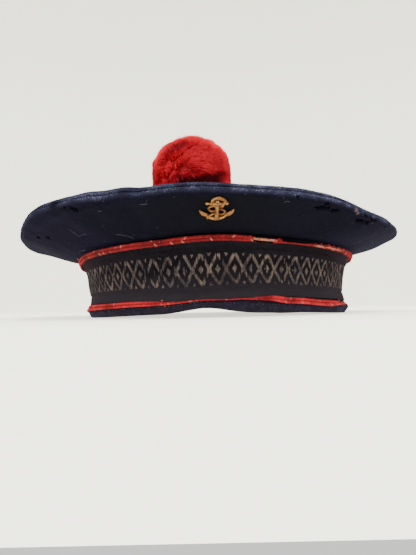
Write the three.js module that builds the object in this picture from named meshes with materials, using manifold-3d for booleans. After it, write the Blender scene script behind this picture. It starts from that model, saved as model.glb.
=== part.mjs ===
// A sailor cap: a wide round crown of wool cloth on an upright band, a ribbon between two
// narrow red braids, a brass anchor badge on the front and a wool pompom on top.
// Millimetres, +Z up. The cap stands on its hem, and its front faces -Y.
// The origin is on the table, under the middle of the whole outline.
import * as THREE from 'three';
import { mergeVertices } from 'three/addons/utils/BufferGeometryUtils.js';
import Module from 'manifold-3d';

const DEGREE = Math.PI / 180;

// Driving dimensions
const CROWN_WIDTH = 250;
const CROWN_DEPTH = 254;
const RIM_TOP = 57; // the top of the rolled rim, before its rise and fall round the crown
const DOME_HEIGHT = 74;
const BAND_WIDTH = 169;
const BAND_DEPTH = 192;
const BAND_HEIGHT = 38;
const BAND_SHIFT = 6.2; // the band's middle lies this far to the right of the crown's
const CLOTH = 2;
const GAP = 0.3;
const SECTIONS = 48; // stations round the cap

// The soft band stands on its two sides and arches up off the table at the front and the back.
// The small arch at the middle of the front is in the hem, and little of it reaches further up.
const ARCHES = [
  { turn: 0, reach: 72, low: 2.3, high: 2.3 },
  { turn: 0, reach: 22, low: 3.0, high: 1.1 },
  { turn: 180, reach: 76, low: 5.2, high: 4.2 },
];
const ARCH_FADE = 10; // the height over which an arch goes from its low to its high lift

// How the band leans in and out on its way up: height above the hem, and how far out from the waist
const BAND_FORM = [
  { height: 0, out: 3.2 },
  { height: 4.4, out: 3.0 },
  { height: 8, out: 1.0 },
  { height: 14, out: 0 },
  { height: 28, out: 2.0 },
  { height: 34, out: 4.8 },
  { height: BAND_HEIGHT, out: 7.6 },
];

// The crown's shape by the turn in degrees from the front towards the right: the radius of the
// rolled rim, the angle below its outermost line where the side panel runs onto it, how far that
// panel bellies down, how the rim's top rises and falls, and the share of the band's lean.
const CROWN_FORM = [
  { turn: 0, roll: 3.6, start: -60, belly: 0, rise: 4.3, lean: 0.9 },
  { turn: 45, roll: 3.4, start: -60, belly: -0.2, rise: -3.0, lean: 1.0 },
  { turn: 90, roll: 3.2, start: -66, belly: -0.8, rise: -4.8, lean: 1.1 },
  { turn: 135, roll: 3.8, start: -64, belly: 0, rise: -2.4, lean: 1.0 },
  { turn: 180, roll: 4.4, start: -66, belly: 0.8, rise: 0.4, lean: 0.9 },
  { turn: 225, roll: 5.2, start: -72, belly: 1.4, rise: 1.6, lean: 1.0 },
  { turn: 270, roll: 6.8, start: -78, belly: 2.6, rise: 2.2, lean: 1.2 },
  { turn: 315, roll: 5.4, start: -70, belly: 1.0, rise: 3.0, lean: 1.1 },
];

// Soft waves along the rim: where each is centred, its half width in degrees and its height
const RIM_WAVES = [
  { turn: -17, reach: 12, rise: -0.8 },
  { turn: -62, reach: 12, rise: -0.6 },
  { turn: 26, reach: 22, rise: 1.8 },
  { turn: 118, reach: 20, rise: 0.9 },
  { turn: 165, reach: 18, rise: -0.8 },
  { turn: 205, reach: 16, rise: 0.8 },
];

// The rim seam's place on the roll, in degrees above the roll's outermost line
const SEAM_ANGLE = 44;

// The sweatband's edge dips under the hem for a stretch of the right front.
const SWEATBAND = { thick: 1.2, foot: 0.8, top: 28, dipTurn: 36, dipReach: 26, dip: 1.2 };
const RIBBON = { thick: 0.8, foot: 8.2, top: 34.2 };
const BRAID = { tall: 2.8, thick: 1.7, groove: 0.45 };
const LOWER_BRAID_HEIGHT = 6.1;
const UPPER_BRAID_HEIGHT = 36;
const WORN_STRETCH = { from: 11.5, to: 18.5 }; // turn, in degrees, where only the braid's core is left
const BRAID_CORE_RADIUS = 0.55;

const POMPOM = { width: 58.4, height: 57.6, x: -10.5, y: -4, sunk: 3.5 };
const LOCKS = { count: 36, radius: 7.4, proud: 2.4 };

const BADGE = { turn: 1.6, along: 0.74 };
const BADGE_POST = { radius: 0.9, clutch: 3.2, clutchThick: 0.8 };

// Moth holes through the side panel: turn, place between the band (0) and the roll (1), size and spin
const MOTH_HOLES = [
  { turn: -39.5, along: 0.82, long: 2.4, wide: 1.2, spin: 20 },
  { turn: -42, along: 0.8, long: 1.1, wide: 0.9, spin: 0 },
  { turn: -60, along: 0.55, long: 1.9, wide: 1.0, spin: 0 },
  { turn: -56.5, along: 0.5, long: 1.9, wide: 1.1, spin: 10 },
  { turn: 27, along: 0.7, long: 5.0, wide: 1.6, spin: 12 },
  { turn: 32, along: 0.7, long: 3.0, wide: 1.1, spin: 12 },
  { turn: 40, along: 0.84, long: 4.6, wide: 1.5, spin: 18 },
  { turn: 46, along: 0.8, long: 5.4, wide: 2.0, spin: 10 },
];

const COLOURS = {
  navy: 0x22232f,
  black: 0x232225,
  red: 0xa8201f,
  cotton: 0xd2a684,
  leather: 0x4a3528,
  wool: 0xb3201f,
  brass: 0xb98a58,
};

// Turn in degrees, brought to -180..180
function signedTurn(turn) {
  return ((((turn + 180) % 360) + 360) % 360) - 180;
}

// 1 at the middle of a bump, 0 at its reach and beyond, smooth between
function bump(distance, reach) {
  if (Math.abs(distance) >= reach) return 0;
  return Math.cos((Math.PI / 2) * (distance / reach)) ** 2;
}

// How far the arches lift the band at a turn and a height above the hem
function lift(turn, height) {
  const part = THREE.MathUtils.clamp(height / ARCH_FADE, 0, 1);
  let rise = 0;
  for (const arch of ARCHES) {
    rise += THREE.MathUtils.lerp(arch.low, arch.high, part) * bump(signedTurn(turn - arch.turn), arch.reach);
  }
  return rise;
}

function rimWave(turn) {
  let rise = 0;
  for (const wave of RIM_WAVES) {
    rise += wave.rise * bump(signedTurn(turn - wave.turn), wave.reach);
  }
  return rise;
}

// A column of CROWN_FORM at any turn, on a smooth closed curve through its rows
function crownForm(column, turn) {
  const count = CROWN_FORM.length;
  const place = ((((turn / 360) * count) % count) + count) % count;
  const row = Math.floor(place);
  const part = place - row;
  const at = (step) => CROWN_FORM[(row + step + count) % count][column];
  const slopeIn = (at(1) - at(-1)) / 2;
  const slopeOut = (at(2) - at(0)) / 2;
  return THREE.MathUtils.lerp(at(0), at(1), part * part * (3 - 2 * part))
    + slopeIn * part * (1 - part) ** 2
    - slopeOut * part ** 2 * (1 - part);
}

// How far out of the waist the band's cloth leans at a height, by straight steps between the rows
function bandLean(height) {
  const above = BAND_FORM.findIndex((row) => row.height >= height);
  if (above <= 0) return BAND_FORM[0].out;
  const low = BAND_FORM[above - 1];
  const high = BAND_FORM[above];
  const part = (height - low.height) / (high.height - low.height);
  return THREE.MathUtils.lerp(low.out, high.out, part);
}

// A point round the band: `out` is the distance out of the cloth's outer face at that height
function bandPoint(turn, height, out) {
  const reach = bandLean(height) * crownForm('lean', turn) + out;
  const angle = turn * DEGREE;
  return new THREE.Vector3(
    BAND_SHIFT + (BAND_WIDTH / 2 + reach) * Math.sin(angle),
    -(BAND_DEPTH / 2 + reach) * Math.cos(angle),
    height + lift(turn, height),
  );
}

function rimPoint(turn) {
  const angle = turn * DEGREE;
  return new THREE.Vector3(
    (CROWN_WIDTH / 2) * Math.sin(angle),
    -(CROWN_DEPTH / 2) * Math.cos(angle),
    RIM_TOP + crownForm('rise', turn) - crownForm('roll', turn) + rimWave(turn),
  );
}

// How a panel runs in from the rim at one turn: straight towards the crown's own middle through the
// roll, then drifting sideways to end on its target
function panelWay(rim, target) {
  const inward = new THREE.Vector3(-rim.x, -rim.y, 0).normalize();
  const sideways = new THREE.Vector3(-inward.y, inward.x, 0);
  const whole = new THREE.Vector3(target.x - rim.x, target.y - rim.y, 0);
  return { inward, sideways, span: whole.dot(inward), drift: whole.dot(sideways) };
}

// The crown's upright section at one turn, with the side panel's way to the band and the top
// panel's way to the middle. Distances are measured in from the rim line.
function crownSection(turn) {
  const rim = rimPoint(turn);
  return {
    turn,
    rim,
    roll: crownForm('roll', turn),
    start: crownForm('start', turn),
    belly: crownForm('belly', turn),
    toBand: panelWay(rim, bandPoint(turn, BAND_HEIGHT, -CLOTH)),
    toMiddle: panelWay(rim, POMPOM),
  };
}

// The roll's outer line at an angle above its outermost point, as distance in from the rim and height
function rollPoint(section, angle, radius) {
  return new THREE.Vector2(
    section.roll - radius * Math.cos(angle * DEGREE),
    section.rim.z + radius * Math.sin(angle * DEGREE),
  );
}

// The side panel's outer face, `along` from 0 over the band to 1 where the roll starts
function sidePanelPoint(section, along) {
  const from = new THREE.Vector2(section.toBand.span, BAND_HEIGHT + GAP + lift(section.turn, BAND_HEIGHT));
  const to = rollPoint(section, section.start, section.roll);
  const length = from.x - to.x;
  const slope = Math.tan((90 + section.start) * DEGREE);
  const curve = new THREE.CubicBezierCurve(
    from,
    new THREE.Vector2(from.x - length * 0.34, THREE.MathUtils.lerp(from.y, to.y, 0.26) - section.belly),
    new THREE.Vector2(to.x + length * 0.3, to.y - length * 0.3 * slope),
    to,
  );
  return curve.getPoint(along);
}

// The dome's outer face, `along` from 0 at the roll's top to 1 over the middle
function domePoint(section, along) {
  const start = rollPoint(section, 90, section.roll);
  const part = 1 - along;
  const swell = (1 - part * part) ** 1.5;
  const ripple = 0.7 * Math.sin(3 * section.turn * DEGREE + 1) * Math.sin(Math.PI * part) ** 2;
  return new THREE.Vector2(
    THREE.MathUtils.lerp(start.x, section.toMiddle.span, along),
    THREE.MathUtils.lerp(start.y, DOME_HEIGHT, swell) + ripple,
  );
}

// A face line of a section, moved by `depth` to its right as it runs
function offsetLine(line, depth) {
  return line.map((point, i) => {
    const before = line[Math.max(i - 1, 0)];
    const after = line[Math.min(i + 1, line.length - 1)];
    const run = after.clone().sub(before).normalize();
    return new THREE.Vector2(point.x + run.y * depth, point.y - run.x * depth);
  });
}

// A point of a section in space
function inSpace(section, way, flat) {
  const pastRoll = THREE.MathUtils.clamp((flat.x - section.roll) / (way.span - section.roll), 0, 1);
  return section.rim.clone()
    .addScaledVector(way.inward, flat.x)
    .addScaledVector(way.sideways, way.drift * pastRoll)
    .setZ(flat.y);
}

function steps(count, from, to) {
  return Array.from({ length: count + 1 }, (_, i) => from + ((to - from) * i) / count);
}

function rollLine(section, radius, count, from, to) {
  return steps(count, from, to).map((angle) => rollPoint(section, angle, radius));
}

// Half the seam's width as an angle. The seam is a parallel slit, so it takes up more of the turn
// on the inner face, where the radius is smaller.
function seamHalf(radius) {
  return GAP / (2 * radius * DEGREE);
}

// The side panel's closed outline at one turn: its outer face out to the seam, then its inner face back
function sidePanelLoop(turn) {
  const section = crownSection(turn);
  const face = (radius) => rollLine(section, radius, 3, section.start, SEAM_ANGLE - seamHalf(radius));
  const panel = steps(5, 0, 0.94).map((along) => sidePanelPoint(section, along));
  const inner = [...offsetLine(panel, CLOTH), ...face(section.roll - CLOTH)];
  const outer = [...panel, ...face(section.roll)];
  return [...outer, ...inner.reverse()].map((flat) => inSpace(section, section.toBand, flat));
}

// The top panel's open outline at one turn: its inner face out from the middle, then its outer face back
function topPanelLine(turn) {
  const section = crownSection(turn);
  const face = (radius) => rollLine(section, radius, 2, SEAM_ANGLE + seamHalf(radius), 90);
  const panel = [0.14, 0.34, 0.58, 0.82].map((along) => domePoint(section, along));
  const inner = [...face(section.roll - CLOTH), ...offsetLine(panel, CLOTH)];
  const outer = [...face(section.roll), ...panel];
  return [...inner.reverse(), ...outer].map((flat) => inSpace(section, section.toMiddle, flat));
}

// A closed ring's outline from rows of height and distance out, up its outer face and down its inner
function ringLoop(rows) {
  return (turn) => rows.map(({ height, out }) => bandPoint(turn, height, out));
}

function bandHeights(from, to) {
  const inside = (height) => height > from + 0.5 && height < to - 0.5;
  return [from, ...BAND_FORM.map((row) => row.height).filter(inside), to];
}

function wallRows(from, to, outerFace, innerFace) {
  const heights = bandHeights(from, to);
  const outer = heights.map((height) => ({ height, out: outerFace }));
  const inner = heights.map((height) => ({ height, out: innerFace })).reverse();
  return [...outer, ...inner];
}

// The sweatband's outline, whose lowest edge dips at the right front
function sweatbandLoop(turn) {
  const dip = SWEATBAND.dip * bump(signedTurn(turn - SWEATBAND.dipTurn), SWEATBAND.dipReach);
  const outerFace = -CLOTH - GAP;
  return wallRows(SWEATBAND.foot, SWEATBAND.top, outerFace, outerFace - SWEATBAND.thick).map((row) => {
    const height = row.height === SWEATBAND.foot ? row.height - dip : row.height;
    return bandPoint(turn, height, row.out);
  });
}

// The braid's section: two ribs with a groove between them on the outside, flat behind
function braidLoop(middleHeight, turn) {
  const back = GAP;
  const front = GAP + BRAID.thick;
  const half = BRAID.tall / 2;
  const rows = [
    { height: -half, out: back + 0.5 * BRAID.thick },
    { height: -half * 0.56, out: front },
    { height: 0, out: front - BRAID.groove },
    { height: half * 0.56, out: front },
    { height: half, out: back + 0.5 * BRAID.thick },
    { height: half * 0.75, out: back },
    { height: -half * 0.75, out: back },
  ];
  const lean = bandLean(middleHeight);
  return rows.map((row) => {
    const height = middleHeight + row.height;
    const level = (lean - bandLean(height)) * crownForm('lean', turn);
    return bandPoint(turn, height, row.out + Math.max(level, 0));
  });
}

function geometryFrom(points, triangles) {
  const geometry = new THREE.BufferGeometry();
  const numbers = points.flatMap((point) => [point.x, point.y, point.z]);
  geometry.setAttribute('position', new THREE.Float32BufferAttribute(numbers, 3));
  geometry.setIndex(triangles);
  return geometry;
}

// Joins each outline to the next with two triangles a step. A closed one wraps round on itself.
function bridge(stations, perStation, closedRound, closedOutline) {
  const triangles = [];
  const lastStation = closedRound ? stations : stations - 1;
  const lastPoint = closedOutline ? perStation : perStation - 1;
  for (let i = 0; i < lastStation; i++) {
    const next = (i + 1) % stations;
    for (let j = 0; j < lastPoint; j++) {
      const up = (j + 1) % perStation;
      const [a, b] = [i * perStation + j, next * perStation + j];
      const [c, d] = [next * perStation + up, i * perStation + up];
      triangles.push(a, b, c, a, c, d);
    }
  }
  return triangles;
}

function ringGeometry(loopAt) {
  const loops = steps(SECTIONS, 0, 360).slice(0, -1).map(loopAt);
  return geometryFrom(loops.flat(), bridge(SECTIONS, loops[0].length, true, true));
}

// An open stretch of a ring, with a flat end at each turn
function arcGeometry(loopAt, turns) {
  const loops = turns.map(loopAt);
  const size = loops[0].length;
  const points = loops.flat();
  const triangles = bridge(turns.length, size, false, true);
  for (const [first, facesBack] of [[0, true], [points.length - size, false]]) {
    const middle = points.length;
    const rim = points.slice(first, first + size);
    points.push(rim.reduce((sum, p) => sum.add(p), new THREE.Vector3()).divideScalar(size));
    for (let j = 0; j < size; j++) {
      const [a, b] = [first + j, first + ((j + 1) % size)];
      triangles.push(middle, facesBack ? a : b, facesBack ? b : a);
    }
  }
  return geometryFrom(points, triangles);
}

// A sheet with two faces that meets at a point below and above its middle
function discGeometry(lineAt, middle) {
  const lines = steps(SECTIONS, 0, 360).slice(0, -1).map(lineAt);
  const size = lines[0].length;
  const points = lines.flat();
  const triangles = bridge(SECTIONS, size, true, false);
  const under = points.push(middle.clone().setZ(DOME_HEIGHT - CLOTH)) - 1;
  const over = points.push(middle.clone().setZ(DOME_HEIGHT)) - 1;
  for (let i = 0; i < SECTIONS; i++) {
    const next = (i + 1) % SECTIONS;
    triangles.push(under, next * size, i * size);
    triangles.push(over, i * size + size - 1, next * size + size - 1);
  }
  return geometryFrom(points, triangles);
}

// Solids for joining and cutting
const wasm = await Module();
wasm.setup();

function solidFrom(geometry) {
  const bare = geometry.clone();
  bare.deleteAttribute('normal');
  bare.deleteAttribute('uv');
  const merged = mergeVertices(bare, 1e-4);
  return new wasm.Manifold(new wasm.Mesh({
    numProp: 3,
    vertProperties: new Float32Array(merged.attributes.position.array),
    triVerts: new Uint32Array(merged.index.array),
  }));
}

function geometryOf(solid) {
  const mesh = solid.getMesh();
  const geometry = new THREE.BufferGeometry();
  geometry.setAttribute('position', new THREE.Float32BufferAttribute(mesh.vertProperties, mesh.numProp));
  geometry.setIndex(new THREE.BufferAttribute(mesh.triVerts, 1));
  return geometry;
}

// The side panel's outer face at a turn and a share of its width: a frame whose z points out of the cloth
function sidePanelFrame(turn, along) {
  const at = (t, a) => {
    const section = crownSection(t);
    return inSpace(section, section.toBand, sidePanelPoint(section, a));
  };
  const origin = at(turn, along);
  const right = at(turn + 1, along).sub(at(turn - 1, along)).normalize();
  const up = at(turn, along + 0.02).sub(at(turn, along - 0.02)).normalize();
  const out = right.clone().cross(up).normalize();
  return new THREE.Matrix4().makeBasis(right, out.clone().cross(right), out).setPosition(origin);
}

// A rod along +z of the frame, from `from` to `to`
function rodGeometry(radius, from, to, sides) {
  return new THREE.CylinderGeometry(radius, radius, to - from, sides)
    .rotateX(Math.PI / 2)
    .translate(0, 0, (from + to) / 2);
}

function mothHole(hole) {
  const cutter = rodGeometry(0.5, -CLOTH * 2.5, CLOTH, 6)
    .scale(hole.long, hole.wide, 1)
    .rotateZ(hole.spin * DEGREE)
    .applyMatrix4(sidePanelFrame(hole.turn, hole.along));
  return solidFrom(cutter);
}

// The badge lies in its own plane: x to the right, y up the anchor, z out of the cloth
const ANCHOR = {
  shankTop: 5.2,
  shankFoot: -6.2,
  shankWidth: 1.9,
  stockHeight: 3.6,
  stockLength: 9.6,
  stockRadius: 0.75,
  ringHeight: 6.6,
  ringRadius: 1.7,
  ringWire: 0.5,
  ropeRadius: 0.62,
};

// Half of an arm and its fluke, from the anchor's foot out to the point
const ARM_OUTLINE = [
  { x: 0, y: -8.2 },
  { x: 2.6, y: -7.6 },
  { x: 5.4, y: -5.6 },
  { x: 7.4, y: -2.6 },
  { x: 8.5, y: 1.2 },
  { x: 6.2, y: -0.8 },
  { x: 3.4, y: -3.0 },
  { x: 3.0, y: -4.4 },
  { x: 1.6, y: -5.6 },
  { x: 0, y: -6.2 },
];

// The rope's way, from its knot on the stock round the shank to its loose end
const ROPE_WAY = [
  { x: 4.2, y: 3.3, z: 1.5 },
  { x: 4.4, y: 5.4, z: 1.2 },
  { x: 2.4, y: 6.9, z: 1.1 },
  { x: -0.4, y: 7.5, z: 1.1 },
  { x: -2.9, y: 5.9, z: 1.1 },
  { x: -2.2, y: 4.2, z: 1.6 },
  { x: -0.6, y: 2.4, z: 1.9 },
  { x: -3.4, y: 2.3, z: 1.2 },
  { x: -4.2, y: 0.6, z: 1.0 },
  { x: -2.4, y: -1.3, z: 1.1 },
  { x: 0.6, y: -0.8, z: 1.9 },
  { x: 2.9, y: -1.2, z: 1.2 },
  { x: 3.5, y: -3.2, z: 1.2 },
  { x: 1.4, y: -4.3, z: 1.6 },
  { x: -1.6, y: -4.0, z: 1.8 },
  { x: -4.0, y: -5.2, z: 1.6 },
  { x: -4.3, y: -7.2, z: 1.2 },
];

function anchorArms() {
  const half = ARM_OUTLINE.map(({ x, y }) => new THREE.Vector2(x, y));
  const other = half.slice(1, -1).reverse().map(({ x, y }) => new THREE.Vector2(-x, y));
  return new THREE.ExtrudeGeometry(new THREE.Shape([...half, ...other]), {
    depth: 0.9,
    bevelEnabled: true,
    bevelThickness: 0.5,
    bevelSize: 0.35,
    bevelOffset: -0.35,
    bevelSegments: 1,
  }).translate(0, 0, 0.5);
}

function anchorRope() {
  const way = new THREE.CatmullRomCurve3(ROPE_WAY.map(({ x, y, z }) => new THREE.Vector3(x, y, z)));
  const sides = 5;
  const section = new THREE.Shape(steps(sides, 0, 360).slice(0, -1).map((angle) => new THREE.Vector2(
    ANCHOR.ropeRadius * Math.cos(angle * DEGREE),
    ANCHOR.ropeRadius * Math.sin(angle * DEGREE),
  )));
  return new THREE.ExtrudeGeometry(section, { steps: 30, extrudePath: way, bevelEnabled: false });
}

function badgeSolid() {
  const shankLength = ANCHOR.shankTop - ANCHOR.shankFoot;
  const shank = new THREE.CylinderGeometry(ANCHOR.shankWidth * 0.42, ANCHOR.shankWidth * 0.62, shankLength, 8)
    .translate(0, (ANCHOR.shankTop + ANCHOR.shankFoot) / 2, 1.1);
  const stock = new THREE.CylinderGeometry(ANCHOR.stockRadius, ANCHOR.stockRadius, ANCHOR.stockLength, 8)
    .rotateZ(Math.PI / 2)
    .translate(0, ANCHOR.stockHeight, 1.1);
  const ring = new THREE.TorusGeometry(ANCHOR.ringRadius, ANCHOR.ringWire, 4, 10)
    .translate(0, ANCHOR.ringHeight, 1.0);
  const ends = [-1, 1].map((side) => new THREE.SphereGeometry(ANCHOR.stockRadius * 1.35, 7, 4)
    .translate((side * ANCHOR.stockLength) / 2, ANCHOR.stockHeight, 1.1));
  const whole = [shank, stock, ring, ...ends, anchorArms(), anchorRope()]
    .map(solidFrom)
    .reduce((sum, piece) => sum.add(piece));
  const behind = new THREE.BoxGeometry(40, 40, 10).translate(0, 0, -5);
  return whole.subtract(solidFrom(behind));
}

// The pompom: a head with blunt locks standing out of it all round, cut flat where it sits on the dome
function pompomSolid() {
  const centre = new THREE.Vector3(POMPOM.x, POMPOM.y, DOME_HEIGHT + GAP + POMPOM.height / 2 - POMPOM.sunk);
  const radius = new THREE.Vector3(POMPOM.width / 2, POMPOM.width / 2, POMPOM.height / 2);
  const head = new THREE.IcosahedronGeometry(1, 2);
  const shrink = 1 - LOCKS.proud / radius.x;
  head.scale(radius.x * shrink, radius.y * shrink, radius.z * shrink);
  let whole = solidFrom(head);
  const golden = Math.PI * (3 - Math.sqrt(5));
  for (let i = 0; i < LOCKS.count; i++) {
    const height = 1 - (2 * (i + 0.5)) / LOCKS.count;
    const ring = Math.sqrt(1 - height * height);
    const toward = new THREE.Vector3(ring * Math.cos(golden * i), ring * Math.sin(golden * i), height);
    const tip = radius.x * (1 - 0.035 * Math.abs(Math.sin(7 * i)));
    const lock = new THREE.LatheGeometry([
      new THREE.Vector2(0, tip * 0.6),
      new THREE.Vector2(LOCKS.radius * 0.7, tip * 0.6),
      new THREE.Vector2(LOCKS.radius, tip * 0.93),
      new THREE.Vector2(LOCKS.radius * 0.55, tip * 0.985),
      new THREE.Vector2(0, tip),
    ], 5);
    lock.applyQuaternion(new THREE.Quaternion().setFromUnitVectors(new THREE.Vector3(0, 1, 0), toward));
    lock.scale(1, 1, radius.z / radius.x);
    whole = whole.add(solidFrom(lock));
  }
  const seat = new THREE.BoxGeometry(100, 100, 40)
    .translate(0, 0, DOME_HEIGHT + GAP - centre.z - 20);
  return whole.subtract(solidFrom(seat)).translate(centre.x, centre.y, centre.z);
}

function cloth(colour, roughness) {
  return new THREE.MeshStandardMaterial({ color: colour, roughness, metalness: 0 });
}

function mesh(name, geometry, material) {
  const made = new THREE.Mesh(geometry, material);
  made.name = name;
  return made;
}

const navyCloth = cloth(COLOURS.navy, 0.95);
const redBraid = cloth(COLOURS.red, 0.9);
const brass = new THREE.MeshStandardMaterial({ color: COLOURS.brass, roughness: 0.4, metalness: 0.9 });
const leather = cloth(COLOURS.leather, 0.7);

const crownMiddle = new THREE.Vector3(POMPOM.x, POMPOM.y, 0);
const crownTop = mesh('crown_top', discGeometry(topPanelLine, crownMiddle), navyCloth);

const badgeFrame = sidePanelFrame(BADGE.turn, BADGE.along);
const postHole = solidFrom(
  rodGeometry(BADGE_POST.radius + GAP, -CLOTH * 2.5, CLOTH * 2, 10).applyMatrix4(badgeFrame),
);
const sidePanel = [postHole, ...MOTH_HOLES.map(mothHole)]
  .reduce((panel, hole) => panel.subtract(hole), solidFrom(ringGeometry(sidePanelLoop)));
const crownSide = mesh('crown_side', geometryOf(sidePanel), navyCloth);

const band = mesh('band', ringGeometry(ringLoop(wallRows(0, BAND_HEIGHT, 0, -CLOTH))), navyCloth);
const sweatband = mesh('sweatband', ringGeometry(sweatbandLoop), leather);
const ribbon = mesh(
  'ribbon',
  ringGeometry(ringLoop(wallRows(RIBBON.foot, RIBBON.top, GAP + RIBBON.thick, GAP))),
  cloth(COLOURS.black, 0.6),
);

const lowerBraid = mesh('lower_braid', ringGeometry((turn) => braidLoop(LOWER_BRAID_HEIGHT, turn)), redBraid);
const coveredTurns = steps(SECTIONS, WORN_STRETCH.to, WORN_STRETCH.from + 360);
const upperBraid = mesh(
  'upper_braid',
  arcGeometry((turn) => braidLoop(UPPER_BRAID_HEIGHT, turn), coveredTurns),
  redBraid,
);

function coreLoop(turn) {
  const out = GAP + BRAID_CORE_RADIUS;
  return steps(6, 0, 360).slice(0, -1).map((angle) => bandPoint(
    turn,
    UPPER_BRAID_HEIGHT + BRAID_CORE_RADIUS * Math.sin(angle * DEGREE),
    out + BRAID_CORE_RADIUS * Math.cos(angle * DEGREE),
  ));
}
const endGap = (GAP / (BAND_DEPTH / 2)) / DEGREE;
const braidCore = mesh(
  'braid_core',
  arcGeometry(coreLoop, steps(3, WORN_STRETCH.from + endGap, WORN_STRETCH.to - endGap)),
  cloth(COLOURS.cotton, 0.9),
);

const pompom = mesh('pompom', geometryOf(pompomSolid()), cloth(COLOURS.wool, 1));

const badge = mesh('badge', geometryOf(badgeSolid()), brass);
const clutchBack = -CLOTH - 1.4;
const pin = solidFrom(rodGeometry(BADGE_POST.radius, clutchBack - 0.8, 0, 10));
const clutch = solidFrom(rodGeometry(BADGE_POST.clutch, clutchBack, clutchBack + BADGE_POST.clutchThick, 12));
const badgePost = mesh('badge_post', geometryOf(pin.add(clutch)), brass);

// The badge and its post sit in the side panel's frame, just clear of the cloth and of each other.
const badgeGroup = new THREE.Group();
badgeGroup.applyMatrix4(badgeFrame);
badge.position.z = 2 * GAP;
badgePost.position.z = GAP;
badgeGroup.add(badge, badgePost);

const cap = new THREE.Group();
cap.add(crownTop, crownSide, band, sweatband, ribbon, upperBraid, braidCore, lowerBraid, pompom, badgeGroup);

// The origin goes under the middle of the whole outline.
const outline = new THREE.Box3().setFromObject(cap);
const middle = outline.getCenter(new THREE.Vector3());
cap.position.set(-middle.x, -middle.y, -outline.min.z);

export default cap;
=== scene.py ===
"""A sailor cap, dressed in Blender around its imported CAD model.

Lengths in this script are millimetres until a mesh, light or camera is made, which is in metres.
A turn is an angle in degrees round the cap, from the front (-Y) towards the right (+X).
A place runs up the crown: 0 at the band, 1 where the rim's roll starts, 2 on top of the roll,
3 over the middle of the top.
"""
import math

import bmesh
import bpy
import numpy as np
from mathutils import Matrix, Vector


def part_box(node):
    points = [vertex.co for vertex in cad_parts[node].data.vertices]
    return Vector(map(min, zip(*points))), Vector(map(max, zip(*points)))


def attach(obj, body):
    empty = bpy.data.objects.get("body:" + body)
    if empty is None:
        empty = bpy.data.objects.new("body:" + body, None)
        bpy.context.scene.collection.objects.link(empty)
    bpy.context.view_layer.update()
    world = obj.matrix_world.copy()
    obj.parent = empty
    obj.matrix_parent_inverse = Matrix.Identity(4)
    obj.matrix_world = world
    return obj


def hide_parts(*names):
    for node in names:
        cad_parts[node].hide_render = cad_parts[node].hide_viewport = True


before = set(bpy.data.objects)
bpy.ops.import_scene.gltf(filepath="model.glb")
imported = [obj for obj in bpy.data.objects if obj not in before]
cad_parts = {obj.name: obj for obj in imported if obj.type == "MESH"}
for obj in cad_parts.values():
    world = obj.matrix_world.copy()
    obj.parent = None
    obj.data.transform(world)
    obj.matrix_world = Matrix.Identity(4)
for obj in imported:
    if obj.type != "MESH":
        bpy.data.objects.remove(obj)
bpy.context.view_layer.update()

MM = 0.001

# The cap's shape, from the CAD source's named values. The seam's angle, the narrow arch and waves,
# the pinched edge, the bulges and the lean to the left are this script's own.
CROWN_WIDTH = 250.0
CROWN_DEPTH = 254.0
RIM_TOP = 57.0
DOME_HEIGHT = 74.0
BAND_WIDTH = 169.0
BAND_DEPTH = 192.0
BAND_HEIGHT = 38.0
BAND_SHIFT = 6.2
CLOTH = 2.0
GAP = 0.3
SEAM_ANGLE = 20.0
ARCH_FADE = 10.0

# turn, reach, lift at the hem, lift further up
ARCHES = [
    (0, 72, 2.3, 2.3),
    (0, 22, 3.0, 1.1),
    (6, 14, -2.1, 0.0),
    (180, 76, 5.2, 4.2),
]

# height, how far out from the waist
BAND_FORM = [
    (0, 3.2), (4.4, 3.0), (8, 1.0), (14, 0.0), (28, 2.0), (34, 4.8), (38, 7.6),
]

# roll, start, belly, rise and lean at each eighth of a turn
CROWN_FORM = {
    "roll": [3.6, 3.4, 3.2, 3.8, 4.4, 5.2, 6.8, 5.4],
    "start": [-60, -60, -66, -64, -66, -72, -78, -70],
    "belly": [0, -0.2, -0.8, 0, 0.8, 1.4, 2.6, 1.0],
    "rise": [4.3, -3.0, -4.8, -2.4, 0.4, 1.6, 2.2, 3.0],
    "lean": [0.9, 1.0, 1.1, 1.0, 0.9, 1.0, 1.2, 1.1],
}

# turn, half width, rise
RIM_WAVES = [
    (-17, 12, -0.8),
    (-62, 12, -0.6),
    (26, 22, 1.8),
    (118, 20, 0.9),
    (165, 18, -0.8),
    (205, 16, 0.8),
    (-43, 27, 2.1),
    (-25, 12, 0.5),
    (15, 14, -0.2),
    (44, 20, -0.4),
    (32, 9, 0.6),
    (-18, 4, 0.7),
    (-24, 4, -0.4),
]

# Where the rim's roll is pinched into an edge: turn, half width, how far it stands out, at what roll angle
RIM_PINCH = [
    (66, 34, 2.2, -20),
    (-68, 34, 1.2, -34),
]

# How far the band leans to the left on its way up, and where its wall bulges:
# turn, half width, height, half height, mm
BAND_LEANS_LEFT = 1.2
BAND_BULGES = [
    (-88, 50, 13, 13, 0.9),
    (88, 40, 4.2, 3.8, 1.7),
]

POMPOM_X = -10.5
POMPOM_Y = -4.0
POMPOM_WIDTH = 58.4
POMPOM_HEIGHT = 57.6
POMPOM_SUNK = 3.5

LOWER_BRAID_HEIGHT = 6.1
UPPER_BRAID_HEIGHT = 36.0
BRAID_TALL = 2.8
WORN_FROM = 11.5
WORN_TO = 18.5
RIBBON_FOOT = 8.2
RIBBON_TOP = 34.2

BADGE_TURN = 1.6
BADGE_ALONG = 0.74

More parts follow.
